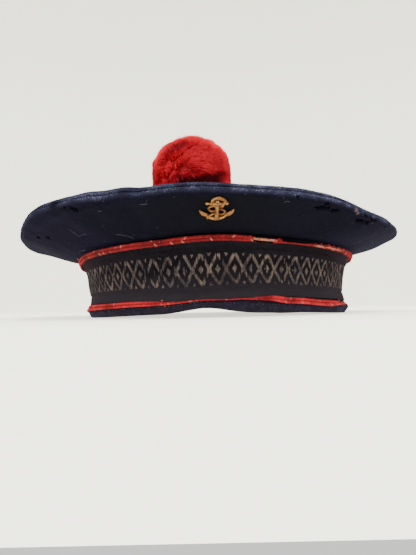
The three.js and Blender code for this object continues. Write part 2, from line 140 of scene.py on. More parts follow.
# Finer sizes and counts of the ribbon, its woven pattern, the sweatband, the hem's stitches, the
# pompom's wool and the loose fibres
RIBBON_OUT = GAP + 0.8
RIBBON_THICK = 0.5
RIBBON_RIB = 0.62
THREAD_PITCH = 0.52
MOTIF_PERIOD = 17.0
MOTIF_LOW = 0.25
MOTIF_HIGH = 0.80
SWEATBAND_HEIGHT = 28.0
SWEATBAND_FOOT = 0.8
SWEATBAND_THICK = 1.2
STITCHES = 328
STITCH_HEIGHT = 3.9
POMPOM_STRANDS = 26000
POMPOM_CLUMPS = 170
HEAD_POINTS = 5000
FLYAWAYS_TRIED = 900
FUZZ_TRIED = 40000
LINT_STATIONS = 26
LINT_SPECKS = 26

# How deep the pompom's hollow and parting go, as parts of its half size
HOLLOW_DEPTH = 0.24
PARTING_DEPTH = 0.035

# How far each of the crown's two panels stops short of the seam, in places
SEAM_GAP = 0.0012

# How far down inside the band the side panel's lower edge is turned
TURNED_DOWN = 3.5

# How far apart the yarns of a braid's rib lie, in degrees round the band
YARN_PITCH = 0.6

# How far round to each side the cap is seen, where its points lie close together
FRONT_REACH = 78

# The CAD model's origin is under its middle, a little away from the middle of the crown.
side_low, side_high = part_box("crown_side")
FRAME_SHIFT = np.array([
    (side_low[0] + side_high[0]) / 2 / MM,
    (side_low[1] + side_high[1]) / 2 / MM,
    0.0,
])


# Numbers and noise

class Field:
    """Smooth noise of about unit size whose features are `scale` long."""

    def __init__(self, seed, scale, waves=28):
        rng = np.random.default_rng(seed)
        way = rng.normal(size=(waves, 3))
        way /= np.linalg.norm(way, axis=1, keepdims=True)
        length = scale * rng.uniform(0.7, 1.8, size=(waves, 1))
        self.waves = way * 2 * np.pi / length
        self.phase = rng.uniform(0, 2 * np.pi, waves)
        self.size = math.sqrt(2 / waves)

    def __call__(self, points):
        return np.sin(points @ self.waves.T + self.phase).sum(-1) * self.size


def lerp(a, b, part):
    return a + (b - a) * part


def smooth(edge_a, edge_b, value):
    part = np.clip((value - edge_a) / (edge_b - edge_a), 0, 1)
    return part * part * (3 - 2 * part)


def signed_turn(turn):
    return (turn + 180) % 360 - 180


def bump(distance, reach):
    inside = np.abs(distance) < reach
    return np.where(inside, np.cos(np.pi / 2 * distance / reach) ** 2, 0)


def table_value(table, turn):
    """The value at a turn, straight between a table's rows of turn and value."""
    turns, values = np.array(table, float).T
    return np.interp(signed_turn(turn), turns, values, period=360)


def unit(vectors):
    return vectors / (np.linalg.norm(vectors, axis=-1, keepdims=True) + 1e-12)


def lift(turn, height):
    part = np.clip(height / ARCH_FADE, 0, 1)
    rise = 0
    for at, reach, low, high in ARCHES:
        rise = rise + lerp(low, high, part) * bump(signed_turn(turn - at), reach)
    return rise


def rim_wave(turn):
    return sum(rise * bump(signed_turn(turn - at), reach) for at, reach, rise in RIM_WAVES)


def crown_form(column, turn):
    table = np.array(CROWN_FORM[column], float)
    count = len(table)
    place = (np.asarray(turn, float) / 360 * count) % count
    row = np.floor(place).astype(int)
    part = place - row
    at = [table[(row + step) % count] for step in (-1, 0, 1, 2)]
    slope_in = (at[2] - at[0]) / 2
    slope_out = (at[3] - at[1]) / 2
    blend = part * part * (3 - 2 * part)
    return lerp(at[1], at[2], blend) + slope_in * part * (1 - part) ** 2 - slope_out * part**2 * (1 - part)


def band_lean(height):
    """The CAD band's straight steps, with their corners rounded off."""
    heights, outs = np.array(BAND_FORM, float).T
    spread = (-1.2, -0.6, 0, 0.6, 1.2)
    return sum(np.interp(height + step, heights, outs) for step in spread) / len(spread)


def band_point(turn, height, out):
    """A point round the band, `out` mm out of the cloth's outer face at that height."""
    turn, height, out = np.broadcast_arrays(*(np.asarray(v, float) for v in (turn, height, out)))
    reach = band_lean(height) * crown_form("lean", turn) + out
    for at, half, level, tall, swell in BAND_BULGES:
        reach = reach + swell * bump(signed_turn(turn - at), half) * bump(height - level, tall)
    angle = np.radians(turn)
    points = np.stack([
        BAND_SHIFT - BAND_LEANS_LEFT * smooth(8, 22, height) + (BAND_WIDTH / 2 + reach) * np.sin(angle),
        -(BAND_DEPTH / 2 + reach) * np.cos(angle),
        height + lift(turn, height),
    ], -1)
    return points + FRAME_SHIFT


def band_outward(points):
    """Level unit vectors out of the band at points on it."""
    away = points - FRAME_SHIFT - [BAND_SHIFT, 0, 0]
    return unit(away * [1 / BAND_WIDTH**2, 1 / BAND_DEPTH**2, 0])


# The crown's sections

class Section:
    """The crown's upright section at each of many turns, built up as in the CAD source."""

    def __init__(self, turn):
        self.turn = np.asarray(turn, float)
        angle = np.radians(self.turn)
        self.roll = crown_form("roll", self.turn)
        self.start = crown_form("start", self.turn)
        self.belly = crown_form("belly", self.turn)
        self.rim = np.stack([
            CROWN_WIDTH / 2 * np.sin(angle),
            -CROWN_DEPTH / 2 * np.cos(angle),
            RIM_TOP + crown_form("rise", self.turn) - self.roll + rim_wave(self.turn),
        ], -1)
        flat = self.rim[..., :2]
        self.inward = -unit(flat)
        self.sideways = np.stack([-self.inward[..., 1], self.inward[..., 0]], -1)
        foot = band_point(self.turn, BAND_HEIGHT, -CLOTH) - FRAME_SHIFT
        self.to_band = self.way_to(foot[..., :2])
        self.to_middle = self.way_to(np.array([POMPOM_X, POMPOM_Y]))

    def way_to(self, target):
        whole = target - self.rim[..., :2]
        return (whole * self.inward).sum(-1), (whole * self.sideways).sum(-1)

    def roll_point(self, angle, radius):
        pinch = sum(
            stands * bump(signed_turn(self.turn - at), half) * bump(angle - middle, 46)
            for at, half, stands, middle in RIM_PINCH
        )
        angle = np.radians(angle)
        return self.roll - radius * np.cos(angle) - pinch, self.rim[..., 2] + radius * np.sin(angle)

    def side_panel(self, along, depth):
        start_x = self.to_band[0]
        start_z = BAND_HEIGHT + GAP + lift(self.turn, BAND_HEIGHT)
        end_x, end_z = self.roll_point(self.start, self.roll)
        length = start_x - end_x
        slope = np.tan(np.radians(90 + self.start))
        xs = [start_x, start_x - length * 0.34, end_x + length * 0.3, end_x]
        zs = [start_z, lerp(start_z, end_z, 0.26) - self.belly, end_z - length * 0.3 * slope, end_z]
        x, dx = cubic(xs, along)
        z, dz = cubic(zs, along)
        size = np.hypot(dx, dz)
        return x + dz / size * depth, z - dx / size * depth

    def dome(self, along, depth):
        start_x, start_z = self.roll_point(90.0, self.roll)
        part = 1 - along
        swell = (1 - part * part) ** 1.5
        ripple = 0.7 * np.sin(3 * np.radians(self.turn) + 1) * np.sin(np.pi * part) ** 2
        x = lerp(start_x, self.to_middle[0], along)
        return x, lerp(start_z, DOME_HEIGHT, swell) + ripple - depth


def cubic(points, part):
    """A Bezier curve's value and slope."""
    a, b, c, d = points
    rest = 1 - part
    value = a * rest**3 + 3 * b * rest**2 * part + 3 * c * rest * part**2 + d * part**3
    slope = 3 * ((b - a) * rest**2 + 2 * (c - b) * rest * part + (d - c) * part**2)
    return value, slope


def panel_point(turn, place, depth=0.0):
    """A point of the crown's cloth, `depth` mm inside its outer face."""
    turn, place = np.broadcast_arrays(np.asarray(turn, float), np.asarray(place, float))
    section = Section(turn)
    on_side = section.side_panel(np.clip(place, 0, 1), depth)
    roll_angle = lerp(section.start, 90.0, np.clip(place - 1, 0, 1))
    on_roll = section.roll_point(roll_angle, section.roll - depth)
    on_dome = section.dome(np.clip(place - 2, 0, 1), depth)
    x, z = (np.where(place < 1, a, np.where(place < 2, b, c)) for a, b, c in zip(on_side, on_roll, on_dome))
    span = np.where(place < 2, section.to_band[0], section.to_middle[0])
    drift = np.where(place < 2, section.to_band[1], section.to_middle[1])
    past_roll = np.clip((x - section.roll) / (span - section.roll), 0, 1)
    flat = (
        section.rim[..., :2]
        + section.inward * x[..., None]
        + section.sideways * (drift * past_roll)[..., None]
    )
    return np.concatenate([flat, z[..., None]], -1) + FRAME_SHIFT


def panel_frame(turn, place):
    """Points of the crown's outer face with unit vectors right, up the cloth and out of it."""
    point = panel_point(turn, place)
    right = unit(panel_point(turn + 0.1, place) - panel_point(turn - 0.1, place))
    up = panel_point(turn, place + 0.004) - panel_point(turn, place - 0.004)
    out = unit(np.cross(right, up))
    return point, right, np.cross(out, right), out


def seam_place(turn):
    start = crown_form("start", turn)
    return 1 + (SEAM_ANGLE - start) / (90 - start)


def over_seam(turn, place):
    """How far a place on the roll is above the rim seam, along the cloth."""
    per_place = np.radians(90 - crown_form("start", turn)) * crown_form("roll", turn)
    return (place - seam_place(turn)) * per_place


# Moth holes and the torn rim. Long and wide are half sizes and, like depth, in mm; spin is in degrees.
# turn, place, long, wide, spin, depth
PITS = [
    (-34.0, 1.30, 0.8, 0.55, 20, 1.2),
    (-31.9, 1.22, 1.2, 0.7, -35, 1.6),
    (-30.8, 1.11, 1.7, 0.85, 5, 1.8),
    (-57.0, 0.86, 1.5, 0.95, 0, 1.9),
    (-53.75, 0.735, 1.7, 1.05, 10, 2.0),
    (26.7, 0.915, 3.6, 1.5, 14, 2.1),
    (27.4, 1.02, 2.0, 1.2, 50, 2.0),
    (28.4, 0.94, 2.2, 1.2, 0, 1.9),
    (30.8, 0.925, 2.5, 1.2, 10, 2.0),
    (38.0, 1.47, 2.8, 1.1, -24, 1.9),
    (40.4, 1.36, 2.1, 1.3, -40, 1.9),
    (43.0, 1.20, 2.7, 1.7, -12, 2.0),
    (45.2, 1.27, 1.5, 1.0, 30, 1.8),
    (40.0, 0.94, 3.2, 1.3, 6, 2.0),
    (42.8, 0.97, 1.9, 1.2, -20, 1.9),
    (51.2, 1.10, 0.8, 0.5, 0, 1.3),
    (56.8, 1.05, 0.7, 0.5, 0, 1.3),
    (19.7, 1.24, 0.9, 0.7, 0, 1.2),
    (146.0, 1.1, 1.4, 0.7, 30, 1.5),
    (228.0, 0.7, 1.1, 0.8, 0, 1.5),
]

# Where the torn rim bares its pale lining: turn, place, radius in mm
LINING = [
    (36.7, 1.30, 1.2),
    (37.4, 1.21, 0.8),
]

soft_wide = Field(21, 34)
soft_close = Field(22, 9)
soft_fine = Field(23, 2.4)
ragged = Field(11, 1.1)


def relief(turn, place, point):
    """How far the worn cloth stands out of its even face, how much painted shade a point takes in a hole or
    along the seam, and how much of it is bare patch.
    """
    turn, place = np.broadcast_arrays(turn, place)
    gap = over_seam(turn, place)
    off_ends = smooth(0.0, 0.15, place) * (1 - smooth(2.85, 2.98, place))
    soft = 0.2 * soft_wide(point) + 0.05 * soft_close(point) + 0.025 * soft_fine(point)
    tuck = 0.30 * bump(np.abs(gap) - 1.0, 0.9) - 0.85 * bump(gap, 0.5)
    pucker = bump(place - 2.97, 0.28) * np.sin(np.radians(turn) * 11 + 2 * soft_wide(point)) * 0.5
    rough_edge = ragged(point)
    painted_shade = np.zeros(point.shape[:-1])
    sink = np.zeros(point.shape[:-1])
    for at, on, long, wide, spin, deep in PITS:
        near = (np.abs(signed_turn(turn - at)) < 7) & (np.abs(place - on) < 0.45)
        if not near.any():
            continue
        middle, right, up, _ = panel_frame(np.array(float(at)), np.array(float(on)))
        away = point - middle
        u, v = away @ right, away @ up
        c, s = math.cos(math.radians(spin)), math.sin(math.radians(spin))
        radius = np.hypot((u * c + v * s) / long, (v * c - u * s) / wide) + 0.15 * rough_edge
        inside = near * (1 - smooth(0.7, 1.1, radius))
        lip = near * bump(radius - 1.45, 0.55) * 0.28
        # Painted shade inside the holes
        painted_shade = np.maximum(painted_shade, inside)
        sink = np.maximum(sink, inside * deep) - lip * (sink <= 0)
    bare = np.zeros(point.shape[:-1])
    for at, on, size in LINING:
        middle = panel_point(np.array(float(at)), np.array(float(on)))
        away = np.linalg.norm(point - middle, axis=-1) / size + 0.25 * rough_edge
        bare = np.maximum(bare, 1 - smooth(0.7, 1.1, away))
    offset = (soft + pucker) * off_ends + tuck - sink + bare * 0.3
    # A line of painted shade in the seam's groove, strongest at the front
    seam_shade = (0.5 + 0.45 * bump(signed_turn(turn), 50)) * bump(gap, 0.45)
    painted_shade = np.maximum(painted_shade * (1 - bare), seam_shade)
    return offset, painted_shade, bare


# How rubbed the rim is, with its painted highlight: turn, part
RIM_RUBBED_AND_LIT = [
    (-180, 0.5), (-80, 0.5), (-45, 0.8), (-30, 0.95), (-20, 1.0), (-4, 0.95), (12, 1.3), (24, 1.45),
    (36, 1.25), (60, 0.9), (80, 0.7), (180, 0.5),
]

worn_patches = Field(31, 9)


def rubbed_and_lit(turn, place, point):
    """How rubbed the nap is, with a painted highlight where the light falls on the rim: most just under the
    rim's seam, and less over it.
    """
    gap = over_seam(turn, place)
    far_over = smooth(3.0, 14.0, gap)
    strip = smooth(-3.7, -0.4, gap) ** 1.2 * (1 - 0.5 * smooth(1.4, 3.0, gap)) * (1 - 0.5 * far_over)
    patches = 0.85 + 0.22 * worn_patches(point) * (1 - 0.85 * far_over)
    return strip * table_value(RIM_RUBBED_AND_LIT, turn) * np.clip(patches, 0, 1.3)


# Meshes

def make_mesh(name, points, faces, fields):
    """A smooth-shaded mesh from points in mm, faces as index lists, and named numbers at the points."""
    data = bpy.data.meshes.new(name)
    data.from_pydata((np.asarray(points) * MM).tolist(), [], faces)
    data.polygons.foreach_set("use_smooth", [True] * len(data.polygons))
    for field, values in fields.items():
        layer = data.attributes.new(field, "FLOAT", "POINT")
        layer.data.foreach_set("value", np.asarray(values, float).ravel())
    data.update()
    made = bpy.data.objects.new(name, data)
    bpy.context.scene.collection.objects.link(made)
    return made


def grid_faces(rounds, across, closed_round=True, closed_across=False):
    """Quads between `rounds` rows of `across` points each."""
    i = np.arange(rounds if closed_round else rounds - 1)
    j = np.arange(across if closed_across else across - 1)
    i, j = np.meshgrid(i, j, indexing="ij")
    next_i = (i + 1) % rounds
    next_j = (j + 1) % across
    corners = [i * across + j, next_i * across + j, next_i * across + next_j, i * across + next_j]
    return np.stack(corners, -1).reshape(-1, 4).tolist()


def normals_of(grid):
    """Unit normals of a grid that closes round, out of the side that grid_faces turns outward."""
    round_way = np.roll(grid, -1, 0) - np.roll(grid, 1, 0)
    return unit(np.cross(round_way, np.gradient(grid, axis=1)))


def sweep(centres, radii, sides=4, flatten=1.0, hint=(0.0, 0.0, 1.0)):
    """Many closed strands at once, with pointed ends.

    centres is strands x stations x 3, radii is strands x (stations - 2), and a strand's first and
    last stations are its points. flatten squeezes the sections along the hint, one for all or one each.
    Returns points, faces and the number of points in a strand.
    """
    count, length, _ = centres.shape
    run = unit(np.gradient(centres, axis=1)[:, 1:-1])
    hint = np.asarray(hint, float)
    hint = hint[:, None] if hint.ndim == 2 else hint
    side = np.cross(run, hint)
    weak = np.linalg.norm(side, axis=-1, keepdims=True) < 1e-3
    side = unit(np.where(weak, np.cross(run, [1.0, 0.3, 0.1]), side))
    up = np.cross(side, run)
    angles = np.arange(sides) * 2 * np.pi / sides
    ring = side[:, :, None] * np.cos(angles)[:, None] + up[:, :, None] * np.sin(angles)[:, None] * flatten
    rings = centres[:, 1:-1, None] + ring * radii[:, :, None, None]
    per = (length - 2) * sides + 2
    points = np.concatenate([centres[:, :1], rings.reshape(count, -1, 3), centres[:, -1:]], 1)
    pattern = []
    last = 1 + (length - 3) * sides
    for j in range(sides):
        next_j = (j + 1) % sides
        pattern.append([0, 1 + next_j, 1 + j])
        pattern.append([last + j, last + next_j, per - 1])
        for a in range(1, last, sides):
            b = a + sides
            pattern.append([a + j, a + next_j, b + next_j, b + j])
    faces = []
    for first in range(0, count * per, per):
        faces.extend([first + index for index in face] for face in pattern)
    return points.reshape(-1, 3), faces, per


def each_point(values, per):
    return np.repeat(np.asarray(values, float), per)


def merged(parts):
    """One list of points and of faces from several."""
    points, faces, first = [], [], 0
    for some, theirs in parts:
        points.append(some)
        faces.extend([first + index for index in face] for face in theirs)
        first += len(some)
    return np.concatenate(points), faces


def curve_through(points, steps):
    """A smooth line through points, at even steps along it."""
    points = np.asarray(points, float)
    padded = np.concatenate([2 * points[:1] - points[1:2], points, 2 * points[-1:] - points[-2:-1]])
    line = []
    for k in range(len(points) - 1):
        a, b, c, d = padded[k:k + 4]
        part = np.linspace(0, 1, 12, endpoint=False)[:, None]
        line.append(0.5 * (2 * b + (c - a) * part + (2 * a - 5 * b + 4 * c - d) * part**2
                           + (3 * b - a - 3 * c + d) * part**3))
    line = np.concatenate(line + [points[-1:]])
    walked = np.concatenate([[0], np.cumsum(np.linalg.norm(np.diff(line, axis=0), axis=1))])
    even = np.linspace(0, walked[-1], steps)
    return np.stack([np.interp(even, walked, line[:, k]) for k in range(3)], -1)


# Materials

def srgb(r, g, b):
    """A colour given as screen values of 0 to 255, as Blender's linear one."""
    value = np.array([r, g, b]) / 255
    linear = np.where(value <= 0.04045, value / 12.92, ((value + 0.055) / 1.055) ** 2.4)
    return (*linear.tolist(), 1.0)


class Shade:
    """A material's node tree with short ways to add nodes. Numbers set the shader's own sockets."""

    def __init__(self, name, **values):
        self.material = bpy.data.materials.new(name)
        self.material.use_nodes = True
        self.tree = self.material.node_tree
        self.shader = self.tree.nodes["Principled BSDF"]
        for socket, value in values.items():
            self.shader.inputs[socket.replace("_", " ")].default_value = value
        self.place = self.add("ShaderNodeTexCoord").outputs["Object"]

    def add(self, kind, *inputs, **settings):
        made = self.tree.nodes.new(kind)
        for key, value in settings.items():
            setattr(made, key, value)
        for socket, value in zip(made.inputs, inputs):
            self.give(socket, value)
        return made

    def give(self, socket, value):
        if isinstance(value, bpy.types.NodeSocket):
            self.tree.links.new(value, socket)
        else:
            socket.default_value = value

    def field(self, name):
        return self.add("ShaderNodeAttribute", attribute_name=name).outputs["Fac"]

    def noise(self, millimetres, detail=3.0, roughness=0.55, stretch=None):
        """Noise from 0 to 1 whose features are about that many millimetres long."""
        place = self.place
        if stretch:
            place = self.add("ShaderNodeVectorMath", place, stretch, operation="MULTIPLY").outputs[0]
        made = self.add("ShaderNodeTexNoise", place)
        made.inputs["Scale"].default_value = 1000 / millimetres
        made.inputs["Detail"].default_value = detail
        made.inputs["Roughness"].default_value = roughness
        return made.outputs["Fac"]

    def ramp(self, value, low, high, out_low=0.0, out_high=1.0):
        made = self.add("ShaderNodeMapRange", value, low, high, out_low, out_high,
                        interpolation_type="SMOOTHSTEP", clamp=True)
        return made.outputs["Result"]

    def times(self, a, b):
        return self.add("ShaderNodeMath", a, b, operation="MULTIPLY").outputs[0]

    def mix(self, part, a, b):
        made = self.add("ShaderNodeMix", data_type="RGBA")
        for index, value in ((0, part), (6, a), (7, b)):
            self.give(made.inputs[index], value)
        return made.outputs[2]

    def colour(self, value):
        self.give(self.shader.inputs["Base Color"], value)

    def layers(self, base, *over):
        """Colours the material with a base and others laid over it in turn, each by its part."""
        for part, value in over:
            base = self.mix(part, base, value)
        self.colour(base)

    def roughness(self, value):
        self.give(self.shader.inputs["Roughness"], value)

    def bump(self, height, millimetres, strength=1.0, under=None):
        made = self.add("ShaderNodeBump")
        self.give(made.inputs["Height"], height)
        made.inputs["Strength"].default_value = strength
        made.inputs["Distance"].default_value = millimetres * MM
        if under is not None:
            self.give(made.inputs["Normal"], under)
        self.give(self.shader.inputs["Normal"], made.outputs["Normal"])
        return made.outputs["Normal"]


# Pieces on the cap's body

def paint(made, material):
    made.data.materials.clear()
    made.data.materials.append(material)


def belongs(made, slot, *replaced):
    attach(made, "root")
    if replaced:
        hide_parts(*replaced)


def piece(name, points, faces, fields, material, slot, *replaced):
    """A painted mesh that rides on the cap, in place of the nodes it replaces."""
    made = make_mesh(name, points, faces, fields)
    paint(made, material)
    belongs(made, slot, *replaced)
    return made


def grid_piece(name, grid, fields, material, slot, *replaced):
    """A piece from a grid of points that closes both ways, with fields of the grid's shape."""
    faces = grid_faces(*grid.shape[:2], True, True)
    return piece(name, grid.reshape(-1, 3), faces, fields, material, slot, *replaced)


def strand_piece(name, swept, fields, material, slot):
    """A piece made of swept strands, each with one number of 0 to 1 for every field."""
    points, faces, per = swept
    fields = {field: each_point(np.clip(values, 0, 1), per) for field, values in fields.items()}
    return piece(name, points, faces, fields, material, slot)


# The cloth

def wool_cloth():
    """Old napped navy cloth: matted fibres, a paler rubbed nap with a painted highlight along the rim,
    painted shade in the holes, along the seam and at the band's top, and a bare lining.
    """
    shade = Shade("navy_cloth", Roughness=0.95, Specular_IOR_Level=0.02,
                  Sheen_Weight=0.03, Sheen_Roughness=0.4, Sheen_Tint=srgb(150, 138, 228))
    nap = shade.noise(1.0, 4.0, 0.65)
    patch = shade.noise(26.0, 2.0)
    fibre = shade.noise(0.42, 2.0, 0.7)
    speck = shade.noise(0.8, 3.0, 0.7)
    wear_and_highlight = shade.field("wear_and_highlight")
    shade.layers(
        shade.mix(shade.ramp(nap, 0.36, 0.7), srgb(8, 7, 15), srgb(15, 14, 27)),
        (shade.ramp(patch, 0.45, 0.75, 0.0, 0.4), srgb(17, 15, 31)),
        (shade.times(shade.field("smoky"), 0.8), srgb(11, 12, 15)),
        # Paler nap and light specks: partly rubbed wear, partly a painted highlight along the rim
        (shade.times(wear_and_highlight, shade.ramp(fibre, 0.36, 0.62, 0.1, 0.75)), srgb(58, 60, 84)),
        (shade.times(shade.ramp(wear_and_highlight, 0.35, 1.0), shade.ramp(speck, 0.54, 0.68)), srgb(94, 98, 126)),
        (shade.field("bare"), srgb(68, 55, 64)),
        # Near black: painted shade in the holes, the seam's groove and the band's top under the crown
        (shade.field("painted_shade"), srgb(3, 3, 4)),
    )
    under = shade.bump(nap, 0.25, 0.5)
    shade.bump(fibre, 0.1, 0.6, under)
    return shade.material


cloth_material = wool_cloth()


def stations(front_step, back_step):
    """Turns round the cap, close together where it is nearest the eye and wider apart behind."""
    front = np.arange(-FRONT_REACH, FRONT_REACH, front_step)
    back = np.arange(FRONT_REACH, 360 - FRONT_REACH, back_step)
    return np.concatenate([front, back])


def cloth_fields(turns, places, face, inner, inner_first):
    """The cloth's outer face moved by its relief, put together with its inner face, and its fields.

    The front of the side panel has darkened to a smoky black.
    """
    offset, painted_shade, bare = relief(turns, places, face)
    # The rubbed nap, with its painted highlight along the rim
    wear_and_highlight = rubbed_and_lit(turns, places, face)
    smoky = bump(signed_turn(turns - 2), 52) * (1 - smooth(0.9, 1.3, places))
    normal = normals_of(face)
    face = face + normal * offset[..., None]
    blank = np.zeros(inner.shape[:2])

    def both(outer_part, inner_part):
        order = [inner_part, outer_part] if inner_first else [outer_part, inner_part]
        return np.concatenate(order, 1)

    outer = {"wear_and_highlight": wear_and_highlight, "painted_shade": painted_shade, "bare": bare, "smoky": smoky}
    fields = {name: both(part, blank) for name, part in outer.items()}
    return both(face, inner), fields


def side_cloth():
    """The side panel: its outer face from the band up to the seam, then its inner face back.

    Its lower edge is turned down inside the band, as it is sewn there.
    """
    turns = stations(0.34, 1.2)[:, None]
    edge = seam_place(turns) - SEAM_GAP
    flat_rows = np.linspace(0, 1, 58)[None, :] + 0 * turns
    roll_rows = np.concatenate([np.linspace(0.05, 0.72, 11), np.linspace(0.76, 1.0, 8)])[None, :]
    places = np.concatenate([flat_rows, lerp(1.0, edge, roll_rows)], 1)
    inner_rows = np.linspace(1, 0, 12)[None, :] + 0 * turns
    inner_places = np.concatenate([lerp(edge, 1.0, np.array([[0.0, 0.5]])), inner_rows], 1)
    face = panel_point(turns, places)
    inner = panel_point(turns, inner_places, CLOTH)
    turned_outs = np.array([[-CLOTH - 1.0, -CLOTH - 0.1]])
    turned_down = band_point(turns, BAND_HEIGHT - TURNED_DOWN, turned_outs)
    inner = np.concatenate([inner, turned_down], 1)
    points, fields = cloth_fields(turns, places, face, inner, False)
    grid_piece("crown_side_cloth", points, fields, cloth_material, "navy_cloth", "crown_side")


def top_cloth():
    """The top panel: its inner face from the middle out to the seam, then its outer face back."""
    turns = stations(0.45, 1.2)[:, None]
    edge = seam_place(turns) + SEAM_GAP
    roll_rows = np.concatenate([np.linspace(0, 0.3, 8), np.linspace(0.36, 1.0, 9)])[None, :]
    dome_rows = 2 + np.linspace(0, 1, 66)[None, 1:-1] ** 1.15 + 0 * turns
    places = np.concatenate([lerp(edge, 2.0, roll_rows), dome_rows], 1)
    inner_rows = 2 + np.array([[0.97, 0.82, 0.58, 0.34, 0.14, 0.0]]) + 0 * turns
    inner_places = np.concatenate([inner_rows, lerp(2.0, edge, np.array([[0.5, 1.0]]))], 1)
    face = panel_point(turns, places)
    inner = panel_point(turns, inner_places, CLOTH)
    points, fields = cloth_fields(turns, places, face, inner, True)
    rounds, across = points.shape[:2]
    faces = grid_faces(rounds, across)
    under = rounds * across
    for i in range(rounds):
        next_i = (i + 1) % rounds
        faces.append([under, next_i * across, i * across])
        faces.append([under + 1, (i + 1) * across - 1, (next_i + 1) * across - 1])
    middle = np.array([POMPOM_X, POMPOM_Y, DOME_HEIGHT]) + FRAME_SHIFT
    points = np.concatenate([points.reshape(-1, 3), [middle - [0, 0, CLOTH], middle]])
    fields = {name: np.append(values, [0, 0]) for name, values in fields.items()}
    piece("crown_top_cloth", points, faces, fields, cloth_material, "navy_cloth", "crown_top")


def band_cloth():
    """The band's wall, whose foot is rounded over as the hem."""
    turns = stations(0.45, 1.2)[:, None]
    heights = np.concatenate([np.linspace(1.0, 5.6, 15), np.linspace(6.4, BAND_HEIGHT, 16)])[None, :]
    tuck_in = 1.9 * np.clip(1 - heights / 3.4, 0, 1) ** 2
    outer = band_point(turns, heights, -tuck_in)
    hang = 0.16 * Field(51, 12)(outer) + 0.06 * Field(52, 3)(outer)
    held = smooth(0.0, 2.0, heights) * (1 - smooth(5.0, 7.0, heights))
    outer = outer + normals_of(outer) * (hang * held)[..., None]
    inner = band_point(turns, np.linspace(BAND_HEIGHT, 1.0, 12)[None, :], -CLOTH)
    bend = np.radians(np.linspace(180, 360, 9)[1:-1])[None, :]
    fold = (CLOTH - tuck_in[0, 0]) / 2
    foot = band_point(turns, 1 + np.sin(bend), np.cos(bend) * fold + fold - CLOTH)
    points = np.concatenate([outer, inner, foot], 1)
    low = 1 - smooth(6.0, 9.0, points[..., 2])
    wear_and_highlight = 0.13 + 0.22 * np.clip(Field(53, 4)(points), 0, 1) * low + 0.3 * bump(points[..., 2], 1.4)
    # Painted shade near the band's top, behind the upper braid and under the crown
    shade_under_crown = 0.85 * smooth(34.5, 37.0, points[..., 2])
    fields = {"wear_and_highlight": wear_and_highlight * (1 - shade_under_crown), "painted_shade": shade_under_crown, "bare": 0.12 * low}
    grid_piece("band_cloth", points, fields, cloth_material, "navy_cloth", "band")


def hem_stitches():
    """A thread that runs in and out along the hem."""
    rng = np.random.default_rng(55)
    turn = np.linspace(0, 360, STITCHES, endpoint=False) + rng.uniform(-0.12, 0.12, STITCHES)
    half = rng.uniform(0.22, 0.34, STITCHES)
    part = np.linspace(-1, 1, 5)[None, :]
    height = STITCH_HEIGHT + rng.normal(0, 0.06, STITCHES)[:, None] + 0 * part
    centres = band_point(turn[:, None] + half[:, None] * part, height, 0.14 + 0.16 * (1 - part**2))
    radii = rng.uniform(0.09, 0.13, (STITCHES, 1)) * np.ones((1, 3))
    tone = 0.45 + 0.3 * Field(56, 25)(centres[:, 2]) + rng.normal(0, 0.2, STITCHES)
    thread = fibre_wool("hem_thread", srgb(30, 29, 40), srgb(98, 94, 110))
    strand_piece("hem_stitches", sweep(centres, radii, 4), {"tone": tone}, thread, "navy_cloth")


def leather():
    shade = Shade("sweatband_leather", Specular_IOR_Level=0.3)
    grain = shade.noise(0.7, 4.0, 0.6)
    stain = shade.noise(9.0, 2.0)
    shade.layers(
        shade.mix(shade.ramp(stain, 0.35, 0.7), srgb(50, 39, 39), srgb(34, 28, 29)),
        (shade.ramp(grain, 0.5, 0.8, 0.0, 0.4), srgb(84, 68, 64)),
    )
    shade.roughness(shade.ramp(grain, 0.3, 0.8, 0.45, 0.75))
    shade.bump(grain, 0.25, 0.5)
    return shade.material


# Where the sweatband's edge dips to show under the hem: turn, half width, mm
SWEATBAND_DIP = (19, 26, 1.3)


def sweatband():
    turns = stations(0.9, 1.8)[:, None]
    at, half, dips = SWEATBAND_DIP
    edge = SWEATBAND_FOOT - dips * bump(signed_turn(turns - at), half)
    wall = np.linspace(3.0, SWEATBAND_HEIGHT, 12)[None, :] + 0 * turns
    heights = np.concatenate([edge, wall], 1)
    outer = band_point(turns, heights, -CLOTH - GAP)
    inner = band_point(turns, heights[:, ::-1], -CLOTH - GAP - SWEATBAND_THICK)
    points = np.concatenate([outer, inner], 1)
    grid_piece("sweatband_leather", points, {}, leather(), "leather", "sweatband")


# The ribbon

# How far the ribbon's foot droops over the lower braid: turn, mm
DROOP = [
    (-180, 0.0), (-44, 0.0), (-34, 0.4), (-26, 1.0), (-20, 1.6), (-12, 2.4), (-6, 2.7), (0, 2.6),
    (3.3, 2.1), (6.6, 1.5), (11.7, 0.8), (15, 0.3), (17.5, 0.0),
]


# Lengthwise creases: how far up the ribbon, half width as a part of its width, mm out
CREASES = [(0.245, 0.03, 0.3), (0.2, 0.035, -0.2), (0.87, 0.03, 0.25), (0.91, 0.03, -0.16)]

# Where the ribbon puckers at the right: turn, half width, mm
PUCKER = (72, 22, 0.42)


